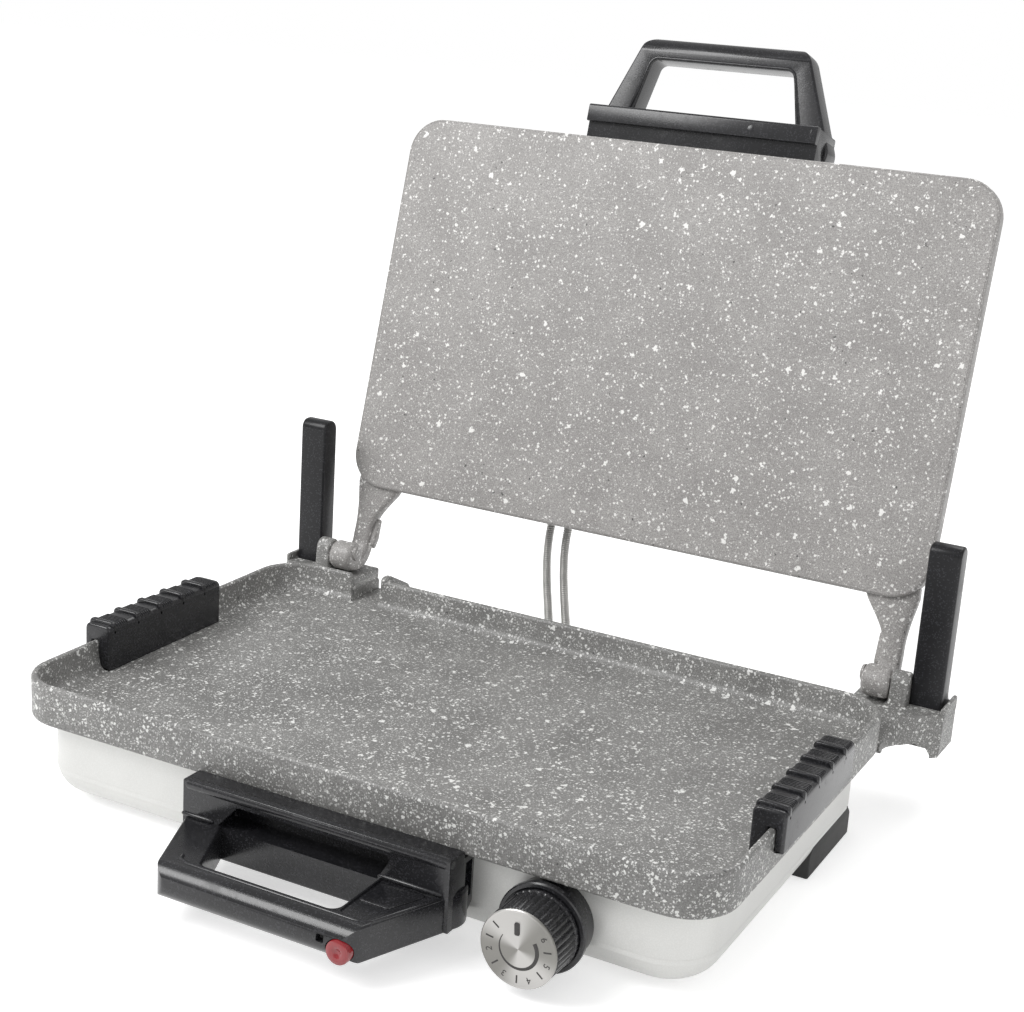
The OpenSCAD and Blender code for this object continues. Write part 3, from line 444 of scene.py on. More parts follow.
def plate(outlines, low, high, edge, place, resolution=2):
    """Plate between two levels from an outer outline and its holes, with rounded edges.
    place takes (u, v, level) to the row frame."""
    curve = bpy.data.curves.new("outline", "CURVE")
    curve.dimensions = "2D"
    curve.fill_mode = "BOTH"
    curve.extrude = (high - low) / 2 - edge
    curve.bevel_depth = edge
    curve.bevel_resolution = resolution
    curve.offset = -edge
    for outline in outlines:
        line = curve.splines.new("POLY")
        line.points.add(len(outline) - 1)
        for point, (u, v) in zip(line.points, outline):
            point.co = (u, v, 0.0, 1.0)
        line.use_cyclic_u = True
    holder = bpy.data.objects.new("outline", curve)
    bpy.context.scene.collection.objects.link(holder)
    seen = holder.evaluated_get(bpy.context.evaluated_depsgraph_get())
    mesh = bpy.data.meshes.new_from_object(seen)
    bpy.data.objects.remove(holder)
    middle = (high + low) / 2
    made = bmesh.new()
    made.from_mesh(mesh)
    for corner in made.verts:
        corner.co = place((corner.co.x, corner.co.y, middle + corner.co.z))
    bmesh.ops.remove_doubles(made, verts=made.verts, dist=1e-6)
    bmesh.ops.recalc_face_normals(made, faces=made.faces)
    made.to_mesh(mesh)
    made.free()
    return mesh


def round_about(centres, r, steps=8):
    """Outline of a taut band round circles of one radius, their centres given anticlockwise."""
    out = []
    for i, c in enumerate(centres):
        a, b = centres[i - 1], centres[(i + 1) % len(centres)]
        start = atan2(a[0] - c[0], c[1] - a[1])
        turn = (atan2(c[0] - b[0], b[1] - c[1]) - start) % (2 * pi)
        out += [(c[0] + r * cos(start + turn * k / steps), c[1] + r * sin(start + turn * k / steps)) for k in range(steps + 1)]
    return out


def prism(outline, low, high, place, edge=0.0, segments=2):
    """Straight solid on an outline of (u, v), between two levels, with optional rounded edges."""
    n = len(outline)
    points = [(u, v, level) for level in (low, high) for u, v in outline]
    faces = [tuple(range(n)), tuple(range(n, 2 * n))] + [(i, (i + 1) % n, n + (i + 1) % n, n + i) for i in range(n)]
    mesh = mesh_from(points, faces, place)
    return bevelled(mesh, edge, segments) if edge else mesh


def bead(path, r, place, ends=0.55):
    """Round bead along a path of design points, drawn in a little at both ends."""
    curve = bpy.data.curves.new("bead", "CURVE")
    curve.dimensions = "3D"
    curve.bevel_depth = r / 1000
    curve.bevel_resolution = 4
    curve.use_fill_caps = True
    first, last = Vector(path[0]), Vector(path[-1])
    ins = [first.lerp(Vector(path[1]), min(0.4, r / (Vector(path[1]) - first).length)),
           last.lerp(Vector(path[-2]), min(0.4, r / (Vector(path[-2]) - last).length))]
    line = curve.splines.new("POLY")
    points = [(first, ends), (ins[0], 1.0), *((Vector(p), 1.0) for p in path[1:-1]), (ins[1], 1.0), (last, ends)]
    line.points.add(len(points) - 1)
    for at, (p, size) in zip(line.points, points):
        at.co = (*place(p), 1.0)
        at.radius = size
    holder = bpy.data.objects.new("bead", curve)
    bpy.context.scene.collection.objects.link(holder)
    mesh = bpy.data.meshes.new_from_object(holder.evaluated_get(bpy.context.evaluated_depsgraph_get()))
    bpy.data.objects.remove(holder)
    made = bmesh.new()
    made.from_mesh(mesh)
    bmesh.ops.remove_doubles(made, verts=made.verts, dist=1e-6)
    bmesh.ops.recalc_face_normals(made, faces=made.faces)
    made.to_mesh(mesh)
    made.free()
    return mesh


def along_x(p):
    """(depth, height, x) to a design point."""
    return (p[2], p[0], p[1])


def dish(profile, half_x, front, back, radius, place, closed=False, steps=10):
    """Sweeps a wall profile of (inset, height) points round a rounded rectangle and closes both ends."""
    points, faces = [], []
    rows = []
    for inset, height in profile:
        r = max(radius - inset, 0.6)
        x, y0, y1 = half_x - inset, front + inset, back - inset
        row = []
        for cx, cy, a0 in ((x - r, y1 - r, 0), (r - x, y1 - r, 90), (r - x, y0 + r, 180), (x - r, y0 + r, 270)):
            for k in range(steps + 1):
                a = radians(a0 + 90 * k / steps)
                row.append(len(points))
                points.append((cx + r * cos(a), cy + r * sin(a), height))
        rows.append(row)
    n = len(rows[0])
    pairs = list(zip(rows, rows[1:])) + ([(rows[-1], rows[0])] if closed else [])
    for low, high in pairs:
        for k in range(n):
            faces.append((low[k], low[(k + 1) % n], high[(k + 1) % n], high[k]))
    if not closed:
        faces += [tuple(rows[0]), tuple(rows[-1])]
    return mesh_from(points, faces, place)


def arc(cx, cz, r, a0, a1, steps=5):
    return [(cx + r * cos(radians(a0 + (a1 - a0) * k / steps)), cz + r * sin(radians(a0 + (a1 - a0) * k / steps))) for k in range(steps + 1)]


def lathe_y(profile, x, z, place, steps=64, wave=None):
    """Turns a profile of (radius, y) points about an axis along y. wave(angle, radius, y) may change the radius."""
    points, faces, rows = [], [], []
    for radius, y in profile:
        row = []
        for k in range(steps):
            a = 2 * pi * k / steps
            r = wave(a, radius, y) if wave else radius
            row.append(len(points))
            points.append((x + r * cos(a), y, z + r * sin(a)))
        rows.append(row)
    for low, high in zip(rows, rows[1:]):
        for k in range(steps):
            faces.append((low[k], low[(k + 1) % steps], high[(k + 1) % steps], high[k]))
    for row in (rows[0], rows[-1]):
        faces.append(tuple(row))
    return mesh_from(points, faces, place)


def box(x0, y0, z0, x1, y1, z1, place, edge=0.0, segments=2):
    points = [(x, y, z) for x in (x0, x1) for y in (y0, y1) for z in (z0, z1)]
    faces = [(0, 1, 3, 2), (4, 6, 7, 5), (0, 4, 5, 1), (2, 3, 7, 6), (0, 2, 6, 4), (1, 5, 7, 3)]
    mesh = mesh_from(points, faces, place)
    return bevelled(mesh, edge, segments) if edge else mesh


def dress(material, *names):
    """Gives CAD nodes whose shape is right their finish."""
    for name in names:
        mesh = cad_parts[name].data
        mesh.materials.clear()
        mesh.materials.append(material)


def mirrored(place):
    return lambda p: place((-p[0], p[1], p[2]))


# ---------- geometry node trees ----------


class Grower:
    """A geometry node tree being built: named inputs, nodes made in one call, ending in real geometry with its material."""

    def __init__(self, name, inputs):
        self.tree = bpy.data.node_groups.new(name, "GeometryNodeTree")
        for label, kind in (("Geometry", "Geometry"), *inputs, ("Material", "Material")):
            self.tree.interface.new_socket(label, in_out="INPUT", socket_type="NodeSocket" + kind)
        self.tree.interface.new_socket("Geometry", in_out="OUTPUT", socket_type="NodeSocketGeometry")
        self.given = self.tree.nodes.new("NodeGroupInput").outputs

    def node(self, kind, settings=None, inputs=None, output=0):
        made = self.tree.nodes.new(kind)
        for key, value in (settings or {}).items():
            setattr(made, key, value)
        for key, value in (inputs or {}).items():
            if isinstance(value, bpy.types.NodeSocket):
                self.tree.links.new(value, made.inputs[key])
            else:
                made.inputs[key].default_value = value
        return made.outputs[output]

    def math(self, operation, a, b=None):
        return self.node("ShaderNodeMath", {"operation": operation}, {0: a} if b is None else {0: a, 1: b})

    def end(self, geometry):
        real = self.node("GeometryNodeRealizeInstances", None, {0: geometry})
        coat = self.node("GeometryNodeSetMaterial", None, {"Geometry": real, "Material": self.given["Material"]})
        self.tree.links.new(coat, self.tree.nodes.new("NodeGroupOutput").inputs[0])
        return self.tree


def grown(data, tree, values):
    """Plain mesh that a tree makes from a mesh or curve, with its inputs set by their identifiers."""
    holder = bpy.data.objects.new("seed", data)
    bpy.context.scene.collection.objects.link(holder)
    modifier = holder.modifiers.new("grow", "NODES")
    modifier.node_group = tree
    ids = {item.name: item.identifier for item in tree.interface.items_tree if item.in_out == "INPUT"}
    for name, value in values.items():
        modifier[ids[name]] = value
    mesh = bpy.data.meshes.new_from_object(holder.evaluated_get(bpy.context.evaluated_depsgraph_get()))
    bpy.data.objects.remove(holder)
    return mesh


def rib_tree():
    """Repeats a rib in rows along y, and the row in bands."""
    g = Grower("ribs_in_bands", [("Ribs", "Int"), ("Rib Step", "Float"), ("Bands", "Int"), ("Band Step", "Float")])
    shape = g.given["Geometry"]
    for count, step in (("Ribs", "Rib Step"), ("Bands", "Band Step")):
        offset = g.node("ShaderNodeCombineXYZ", None, {"Y": g.given[step]})
        line = g.node("GeometryNodeMeshLine", None, {"Count": g.given[count], "Offset": offset})
        shape = g.node("GeometryNodeInstanceOnPoints", None, {"Points": line, "Instance": shape})
    return g.end(shape)


def screw_tree():
    """Sets one screw at every point of a mesh."""
    g = Grower("screws_at_points", [("Screw", "Object")])
    screw = g.node("GeometryNodeObjectInfo", None, {"Object": g.given["Screw"]}, "Geometry")
    return g.end(g.node("GeometryNodeInstanceOnPoints", None, {"Points": g.given["Geometry"], "Instance": screw}))


# ---------- griddle tray ----------


def tray_wall():
    """Wall and floor of the tray as one swept shell, with filleted inner corner and rounded rim."""
    r = TRAY_D
    profile = [(30.0, TRAY_Z), (3.0, TRAY_Z)]
    profile += arc(2.4, TRAY_Z + 2.2, 2.2, 270, 180, 4)
    profile += [(0.0, RIM_Z - 1.8)] + arc(1.85, RIM_Z - 1.85, 1.85, 180, 0, 8)
    profile += [(3.95, RIM_Z - 6), (5.2, FLOOR_Z + 6)]
    profile += arc(11.2, FLOOR_Z + 6.0, 6.0, 180, 270, 6)
    profile += [(30.0, FLOOR_Z)]
    return dish(profile, TRAY_X, 0.0, TRAY_D, 27.6, on_base, steps=12)


def ear_mesh(place):
    """Hinge ear: shelf, swept front, lip outside the post and cheek for the pin, from plan sections joined in height."""
    def section(z, front):
        back = EAR_BACK
        return [(*p, z) for p in [(186.5, 251.0), *front, (EAR_X, back - 2.5), (EAR_X - 2.5, back), (186.5, back)]]
    sections = [
        section(32.0, [(196.5, 240), (200.0, 238), (201.5, 248), (204.5, 258), (209.5, 268), (216.5, 277.5), (EAR_X - 0.5, 281.5)]),
        section(36.0, [(196.5, 236), (200.2, 234), (201.2, 247), (204.0, 258), (209.0, 268.5), (216.0, 278), (EAR_X, 282.5)]),
        section(44.0, [(196.0, 234), (200.0, 232), (200.6, 246), (203.0, 258.5), (208.0, 269.5), (215.5, 279), (EAR_X, 283)]),
        section(50.0, [(194.0, 238), (199.0, 238), (199.4, 249), (201.6, 260.5), (207.0, 271), (215.0, 279.8), (EAR_X, 283.4)]),
        section(54.4, [(190.0, 250), (194.0, 252), (196.4, 257), (200.0, 265), (206.5, 273), (214.6, 280.5), (EAR_X - 0.5, 284)]),
        section(EAR_TOP, [(189.0, 252), (192.0, 255), (195.0, 260), (199.0, 267.5), (206.0, 274.5), (214.0, 281.5), (EAR_X - 1.8, 285)]),
    ]
    n = len(sections[0])
    points = [p for s in sections for p in s]
    faces = [tuple(range(n)), tuple(range((len(sections) - 1) * n, len(sections) * n))]
    for k in range(len(sections) - 1):
        for i in range(n):
            j = (i + 1) % n
            faces.append((k * n + i, k * n + j, (k + 1) * n + j, (k + 1) * n + i))
    body = mesh_from(points, faces, place)
    hollow = prism([(196, 268), (205, 268), (217.2, 285), (217.2, 290.4), (190, 290.4), (190, 272)], 20, 45.5, place, 2.0, 3)
    screw_room = prism([(190, 294), (217.2, 294), (217.2, 308.5), (190, 308.5)], 20, 44.5, place, 2.0, 3)
    arch = prism([(192.0, 20), (192.0, 42.5), (196, 43.4), (203, 43.2), (210, 41.2), (214.5, 38.0), (216.8, 33.5), (217.4, 20)], 225, 289,
                 lambda p: place((p[0], p[2], p[1])), 1.2, 2)
    under = prism([(225, 20), (225, 47.3), (236, 47.0), (246, 45.8), (258, 43.6), (266, 41.0), (270, 20)], 180, 208, lambda p: place(along_x(p)))
    pocket = box(198.48, 290.98, 51.8, 217.02, 310.6, 80, place)
    body = cut(body, hollow, screw_room, arch, under, pocket)
    shelf = bevelled(box(166, TRAY_D - 2, 46.8, 188, EAR_BACK, LEDGE_Z, place), 1.2, 3)
    lip = bevelled(box(218.3, 284, 52, EAR_X, EAR_BACK - 0.6, EAR_TOP + 4, place), 1.2, 3)
    cheek_profile = arc(HINGE_Y, HINGE_Z, 6.2, 0, 180, 16) + [(HINGE_Y - 7.0, 60), (HINGE_Y - 8.5, 54), (HINGE_Y + 9, 54), (HINGE_Y + 7.0, 60)]
    cheek = plate([cheek_profile], 188.0, 198.4, 1.6, lambda p: place(along_x(p)), 3)
    return [body, shelf, lip, cheek]


def spout_mesh():
    """Drain spout: the rear wall is parted, its ends are rounded and turned rearwards as lips."""
    floor = bevelled(box(-150, 244, TRAY_Z, -122, 279, FLOOR_Z + 0.15, on_base), 1.0, 2)
    left = plate([rounded([(250.0, TRAY_Z), (250.0, RIM_Z - 8.0), (279, RIM_Z - 9.0), (279, TRAY_Z)], [0.5, 2, 3, 1])],
                 -150.0, -145.2, 1.3, lambda p: on_base(along_x(p)))
    turned_end = rounded([(249.6, TRAY_Z), (249.6, RIM_Z + 2.6), (256.0, RIM_Z + 2.4), (268.0, RIM_Z - 3.5), (279.0, RIM_Z - 9.0), (279.0, TRAY_Z)],
                         [0.5, 3.4, 5.0, 8.0, 4.0, 1.0], 8)
    right = plate([turned_end], -127.8, -122.0, 2.4, lambda p: on_base(along_x(p)), 4)
    return [floor, left, right]


def lathe_z(profile, x, y, place, steps=32):
    return lathe_y([(r, h) for r, h in profile], 0.0, 0.0, lambda p: place((x + p[0], y - p[2], p[1])), steps)


def make_tray():
    gap = rounded([(-145.5, FLOOR_Z + 0.1), (-126.5, FLOOR_Z + 0.1), (-126.5, 90), (-153.5, 90), (-149.5, RIM_Z - 1.5)], [0.3, 0.3, 0.3, 0.3, 3], 6)
    wall = cut(tray_wall(), prism(gap, 238, 262, lambda p: on_base((p[0], p[2], p[1]))))
    under = [lathe_z([(0.2, 5.4), (5, 5.4), (5, TRAY_Z + 1), (0.2, TRAY_Z + 1)], sx * 150, y, on_base, 24)
             for sx in (-1, 1) for y in (38, 215)]
    parts = [wall, *spout_mesh(), *ear_mesh(on_base), *ear_mesh(mirrored(on_base)), *under]
    finish_mesh("tray_casting", joined(parts), TRAY_STONE, "base", ["griddle_tray"], 35)


# ---------- housing ----------


def drawn_sheet(half_x, front, back, low, high, radius, edge, place, up=1, crease=None):
    """Thin pan of drawn sheet with a round bottom edge and an optional soft crease low on its wall."""
    def level(z):
        return low + z if up > 0 else high - z
    h = high - low
    outer = [(half_x * 0.82, 0.0)] + [(edge - edge * sin(radians(a)), edge - edge * cos(radians(a))) for a in range(0, 91, 10)]
    if crease:
        outer += [(0.0, crease - 1.4), (0.35, crease), (0.0, crease + 1.4)]
    outer += [(0.0, h)]
    t = 1.0
    e = edge - t
    inner = [(t, h)] + [(t + e - e * sin(radians(a)), t + e - e * cos(radians(a))) for a in range(90, -1, -10)]
    inner += [(half_x * 0.82, t)]
    inset_limit = min(half_x, (back - front) / 2) - 8
    profile = [(min(i, inset_limit), level(z)) for i, z in outer + inner]
    return dish(profile, half_x, front, back, radius, place, steps=10)


def make_housing():
    shell = drawn_sheet(PAN_X, PAN_FRONT, PAN_BACK, PAN_Z, TRAY_Z, 28.0, 16.0, on_base, 1, 14.8)
    # Only the wall and its round edge are drawn anew; the flat bottom is closed by the dish's own ends
    finish_mesh("housing_shell", shell, SILVER, "base", ["housing_pan"], 35)


def make_feet():
    for side, name in ((on_base, "right"), (mirrored(on_base), "left")):
        profile = rounded([(160, 0), (226, 0), (226, 13), (219, 20.3), (167, 20.3), (160, 13)], [1.2, 1.2, 3, 3, 3, 3])
        block = plate([profile], 158.0, 190.5, 1.2, lambda p, s=side: s(along_x(p)))
        finish_mesh("rear_foot_block_" + name, block, RUBBER, "base", ["rear_foot_" + name], 30)
    pads = []
    for x in (-140, 140):
        pads.append(lathe_z([(3.2, 0.0), (8.8, 0.0), (9.6, 0.5), (10, 1.4), (10, 4.25), (1.6, 4.25), (1.6, 3.0), (3.2, 3.0), (3.2, 0.0)],
                            x, 62, on_base, 40))
    finish_mesh("front_foot_pads", joined(pads), RUBBER, "base", ["front_feet"], 30)


# ---------- handles ----------


def handle_places(kind):
    if kind == "base":
        return lambda p: on_base((p[0], p[1], p[2] + BRACKET_Z))
    return lambda p: on_lid((-p[0], p[1] - 3.0, LID_HANDLE_Z + 38.0 - p[2]))


def handle_meshes(place, base):
    """Handle moulding: bracket with a round bead along its top, finger recess, and a loop with a round bar."""
    lip, back = (-0.5, 9.3) if base else (-3.9, 16.7)
    front = [(-14, 37.4)] if base else [(-14, 31.0), (-14.7, 32.0), (-14.7, 37.9)]
    side = rounded([(-14, 0.2), *front, (lip, front[-1][1]), (lip, 33.7), (back, 33.7), (back, 8), (0, 0.2)],
                   [1.5, *([0.6] if base else [0.5, 0.5, 1.8]), 0.8, 0.3, 0.4, 2, 2])
    bracket = prism(side, -75.4, 75.4, lambda p: place(along_x(p)), 0.9, 3)
    hole = [(-33.5, -45.5), (33, -45.5), (33, -3), (-51, -3)] if base else [(-42.5, -44.5), (42.5, -44.5), (52, -3), (-52, -3)]
    lean = 7 if base else -13
    x0, x1 = hole[3][0] - 5, hole[2][0] + 5
    recess = rounded([(x0 + 1, LOOP_H - 1), (x1 - 1, LOOP_H - 1), (x1 + lean, 30.9), (x0 + 13, 30.9)], [0.3, 0.3, 2.5, 2.5], 6)
    finger_room = prism(recess, -17.0, 1.5, lambda p: place((p[0], p[2], p[1])))
    behind = box(x0 + 3, 1.0, -2.0, x1 - 3, back + 1, 8.5, place)
    end_pocket = [box(72.2, 1.2, 12.0, 78.0, back - 2.0, 30.5, place)] if base else []
    bracket = cut(bracket, finger_room, behind, *end_pocket)
    outer = round_about([(-45.5, 12 - BAR_OUT), (45.5, 12 - BAR_OUT), (65.5, -2), (-65.5, -2)], 12.0, 12)
    loop = plate([outer, round_about(hole, 5.0, 8)], 0.0, LOOP_H, 1.6, place, 4)
    bar_y, bar_z = 9.25 - BAR_OUT, 9.25
    ring = [(-66.0, -1)] + [(bar_y - 9.25 * cos(radians(a)), bar_z + 9.25 * sin(radians(a))) for a in range(-90, 91, 6)] + [(-66.0, 19.5)]
    loop = cut(loop, prism(ring, -80, 80, lambda p: place(along_x(p))))
    top = LOOP_H - 0.55
    if base:
        panel = rounded([(39.8, -51.6), (54.4, -51.6), (69.6, -14.6), (39.8, -14.6)], [3.0, 1.0, 1.0, 0.5], 4)
        loop = cut(loop, prism(panel, LOOP_H - 0.9, LOOP_H + 2, place))
        seat = lathe_y([(6.5, -66), (6.5, -59.5)], 48.0, 6.2, place, 40)
        slots = [box(48 + dx - 2.0, -66, 8.6, 48 + dx + 2.0, -60.2, 12.2, place, 0.6) for dx in (-9.4, 9.4)]
        loop = cut(loop, seat, *slots)
        rim = [(-49.5, -47.0, top), (-47.5, -51.5, top), (-43.0, -53.4, top), (0, -53.4, top), (49.0, -53.4, top), (54.5, -53.0, top),
               (57.2, -50.6, top), (64.0, -34.0, top), (71.9, -14.8, top)]
        beads = [bead(rim, 1.25, place)]
        for a, b, y, z, r in ((-75.6, -57.0, -13.9, LOOP_H + 0.9, 1.2), (37.6, 72.0, -13.9, LOOP_H + 0.9, 1.2), (-75.6, 75.6, -11.4, 34.7, 3.3)):
            beads.append(bead([(a, y, z), ((a + b) / 2, y, z), (b, y, z)], r, place, 0.6))
    else:
        rim = [(x, y, top) for x, y in round_about(hole, 6.3, 6)]
        front = [p for p in rim if p[1] < -14.5]
        beads = [bead([(-57.4, -14.6, top), *front, (57.4, -14.6, top)], 1.15, place)]
        beads.append(bead([(-71.8, -12.6, 37.5), (-71.8, -9.6, 37.5), (-71.8, -6.6, 37.5)], 0.85, place))
        beads.append(lathe_z([(0.1, 37.0), (2.3, 37.0), (2.2, 37.95), (1.6, 38.1), (0.1, 38.1)], -33.8, -8.9, place, 24))
    return [bracket, loop, *beads]


def wire_cover_mesh(place):
    outline = rounded([(40.9, -36.2), (57.0, -36.2), (65.6, -15.4), (40.9, -15.4)], [1.5, 2, 2, 1.5], 5)
    return plate([outline], LOOP_H - 1.5, LOOP_H - 0.4, 0.35, place, 2)


def make_handles():
    for kind, body in (("base", "base"), ("lid", "lid")):
        meshes = handle_meshes(handle_places(kind), kind == "base")
        finish_mesh(kind + "_handle_moulding", joined(meshes), BLACK, body, [kind + "_handle"], 32)
    cover = wire_cover_mesh(handle_places("base"))
    finish_mesh("base_handle_wire_cover", cover, BLACK, "base", ["base_wire_cover"], 30)


def make_lens():
    """Red lamp lens: a shallow dome in a raised rim, with a sunk middle."""
    profile = [(0.05, -63.4), (1.2, -63.5), (1.9, -64.1), (3.2, -64.6), (4.8, -64.5), (5.9, -64.0), (6.2, -63.2), (6.2, -59.9), (0.05, -59.9)]
    mesh = lathe_y(profile, 48.0, 19.2, on_base, 48)
    finish_mesh("indicator_dome", mesh, RED, "base", ["indicator_lens"], 40)


# ---------- knob ----------


def make_knob():
    bezel = lathe_y([(4.6, 9.2), (20.5, 9.2), (20.5, 2.0), (20.6, -0.5), (22.1, -0.5), (22.3, -0.9), (22.3, -3.2), (21.7, -3.9),
                     (20.2, -4.0), (20.0, -3.5), (18.6, -3.4), (18.4, -2.6), (17.2, -2.5), (17.0, -3.0), (12.4, -3.0), (12.0, -2.6),
                     (12.0, 6.0), (4.6, 6.0), (4.6, 9.2)], KNOB_X, KNOB_Z, on_base, 96)
    finish_mesh("knob_bezel_ring", bezel, BLACK, "base", ["knob_bezel"], 25)

    def flutes(a, r, y):
        if r < 17.5 or y < KNOB_FACE + 0.9 or y > -6.6:
            return r
        return r + 0.75 * (abs(cos(18 * a)) - 0.5)

    skirt = lathe_y([(5.9, -5.0), (5.9, -14.4), (13.9, -14.0), (13.9, -4.3), (19.2, -4.3), (19.6, -4.7), (19.6, -6.2), (19.0, -6.7),
                     (18.9, -7.4), (18.7, KNOB_FACE + 1.2), (18.4, KNOB_FACE + 0.5), (18.1, KNOB_FACE), (17.5, KNOB_FACE), (17.4, KNOB_FACE + 1.6),
                     (3.05, KNOB_FACE + 1.6), (3.05, -5.0), (5.9, -5.0)], KNOB_X, KNOB_Z, on_base, 288, flutes)
    finish_mesh("knob_skirt_fluted", skirt, BLACK, "knob", ["knob_skirt"], 28)
    face, rim = KNOB_FACE - 1.15, KNOB_FACE - 1.4
    disc = lathe_y([(0.05, KNOB_FACE + 1.6), (17.4, KNOB_FACE + 1.6), (17.4, KNOB_FACE), (18.7, KNOB_FACE), (19.1, KNOB_FACE - 0.3),
                    (19.1, rim + 0.5), (18.7, rim + 0.1), (18.3, rim), (17.8, rim + 0.03), (17.4, face), (0.05, face)],
                   KNOB_X, KNOB_Z, on_base, 96)
    finish_mesh("dial_disc", disc, SPUN, "knob", ["knob_disc"], 30)
    finish_mesh("dial_marks", dial_marks(face), INK, "knob", [], 30)


def polar(r, a):
    """Point on the dial: angle clockwise from the top, as seen from the front."""
    return (KNOB_X + r * sin(radians(a)), KNOB_Z + r * cos(radians(a)))


def dial_marks(face):
    """Pointer bar, tapering open ring, and numerals with ticks between them, all a hair proud of the disc."""
    marks = []

    def flat(outline, proud=0.07):
        marks.append(plate([outline], 0.0, proud, 0.015, lambda p: on_base((p[0], face - p[2], p[1])), 1))

    bar = [(-2.2, 6.6), (0.3, 6.8), (-0.1, 12.8), (-2.6, 12.6)]
    flat(rounded([(KNOB_X + x, KNOB_Z + z) for x, z in bar], 0.7, 4), 0.35)
    ring_out, ring_in = [], []
    for k in range(61):
        a = 56 + (302 - 56) * k / 60
        w = 2.1 - 1.7 * k / 60
        ring_out.append(polar(9.4 + w / 2, a))
        ring_in.append(polar(9.4 - w / 2, a))
    flat(ring_out + ring_in[::-1])
    for k in range(6):
        a = 79 + 50 * k - (22 if k == 5 else 0)
        flat([polar(r, a + d) for r, d in ((12.7, -1.7), (16.6, -1.3), (16.6, 1.3), (12.7, 1.7))])
    for k, text in enumerate("65432"):
        marks.append(numeral(text, 55 + 50 * k, face))
    return joined(marks)


def numeral(text, a, face):
    curve = bpy.data.curves.new("numeral", "FONT")
    curve.body = text
    curve.size = 4.6
    curve.align_x = "CENTER"
    curve.align_y = "CENTER"
    curve.extrude = 0.035
    curve.resolution_u = 3
    holder = bpy.data.objects.new("numeral", curve)
    bpy.context.scene.collection.objects.link(holder)
    mesh = bpy.data.meshes.new_from_object(holder.evaluated_get(bpy.context.evaluated_depsgraph_get()))
    bpy.data.objects.remove(holder)
    x, z = polar(14.8, a)
    c, s = cos(radians(-a)), sin(radians(-a))
    for corner in mesh.vertices:
        u, v, w = corner.co
        corner.co = on_base((x + u * c - v * s, face - 0.03 - w, z + u * s + v * c))
    made = bmesh.new()
    made.from_mesh(mesh)
    bmesh.ops.remove_doubles(made, verts=made.verts, dist=1e-7)
    bmesh.ops.recalc_face_normals(made, faces=made.faces)
    made.to_mesh(mesh)
    made.free()
    return mesh


# ---------- posts and grips ----------


def make_posts():
    for side, name in ((on_base, "right"), (mirrored(on_base), "left")):
        profile = rounded([(291.0, 52), (291.0, POST_TOP), (305.0, POST_TOP), (305.3, 60), (310.4, 57), (310.4, 52)],
                          [0.3, 5.5, 6.5, 8, 1.5, 0.3], 8)
        post = plate([profile], 198.5, 217.0, 1.6, lambda p, s=side: s(along_x(p)), 3)
        finish_mesh("storage_post_" + name, post, SHADED_POST_BLACK, "base", ["rear_post_" + name], 30)


def make_grips():
    """Saddle grips: a smooth body over the wall, with five beds of fine ribs across the top."""
    ribs_tree = rib_tree()
    for side, name in ((on_base, "right"), (mirrored(on_base), "left")):
        def across(p, s=side):
            return s((p[0], p[2], p[1]))

        outline = rounded([(188.0, FLOOR_Z), (188.0, 79.2), (205.0, 79.2), (205.0, 58.0), (200.1, 58.0), (200.1, RIM_Z), (196.0, RIM_Z),
                           (196.0, FLOOR_Z)], [0.6, 3.2, 3.2, 1.2, 0.3, 0.3, 0.3, 0.3], 6)
        body = plate([outline], 66.0, 167.0, 1.4, across, 3)
        bed = rounded([(188.0, 74.5), (188.0, 81.1), (205.0, 81.1), (205.0, 74.5)], [0.1, 2.6, 2.6, 0.1], 5)
        rib = rounded([(188.4, 76.4), (188.4, 79.9), (204.6, 79.9), (204.6, 76.4)], [0.1, 2.4, 2.4, 0.1], 4)
        first = 66 + BAND_STEP / 2
        beds = grown(plate([bed], first - 6.8, first - 3.4, 1.1, across, 3), ribs_tree,
                     {"Ribs": 1, "Rib Step": 0.0, "Bands": 5, "Band Step": BAND_STEP / 1000, "Material": BLACK})
        ribs = grown(plate([rib], first - 2.5, first - 1.5, 0.3, across, 1), ribs_tree,
                     {"Ribs": 6, "Rib Step": RIB_STEP / 1000, "Bands": 5, "Band Step": BAND_STEP / 1000, "Material": BLACK})
        finish_mesh("saddle_grip_" + name, joined([body, beds, ribs]), BLACK, "base", ["side_grip_" + name], 30)


# ---------- lid ----------


def lid_slab():
    profile = [(60.0, LID_Z), (1.2, LID_Z)] + arc(1.4, LID_Z + 1.4, 1.4, 270, 180, 4) + [(0.0, LID_TOP - 2.2)]
    profile += arc(2.2, LID_TOP - 2.2, 2.2, 180, 90, 4) + [(14.4, LID_TOP), (14.6, LID_Z + 6.5), (16.5, LID_Z + 5), (60.0, LID_Z + 5)]
    return dish(profile, LID_X, LID_FRONT, LID_BACK, 22.3, on_lid, steps=12)


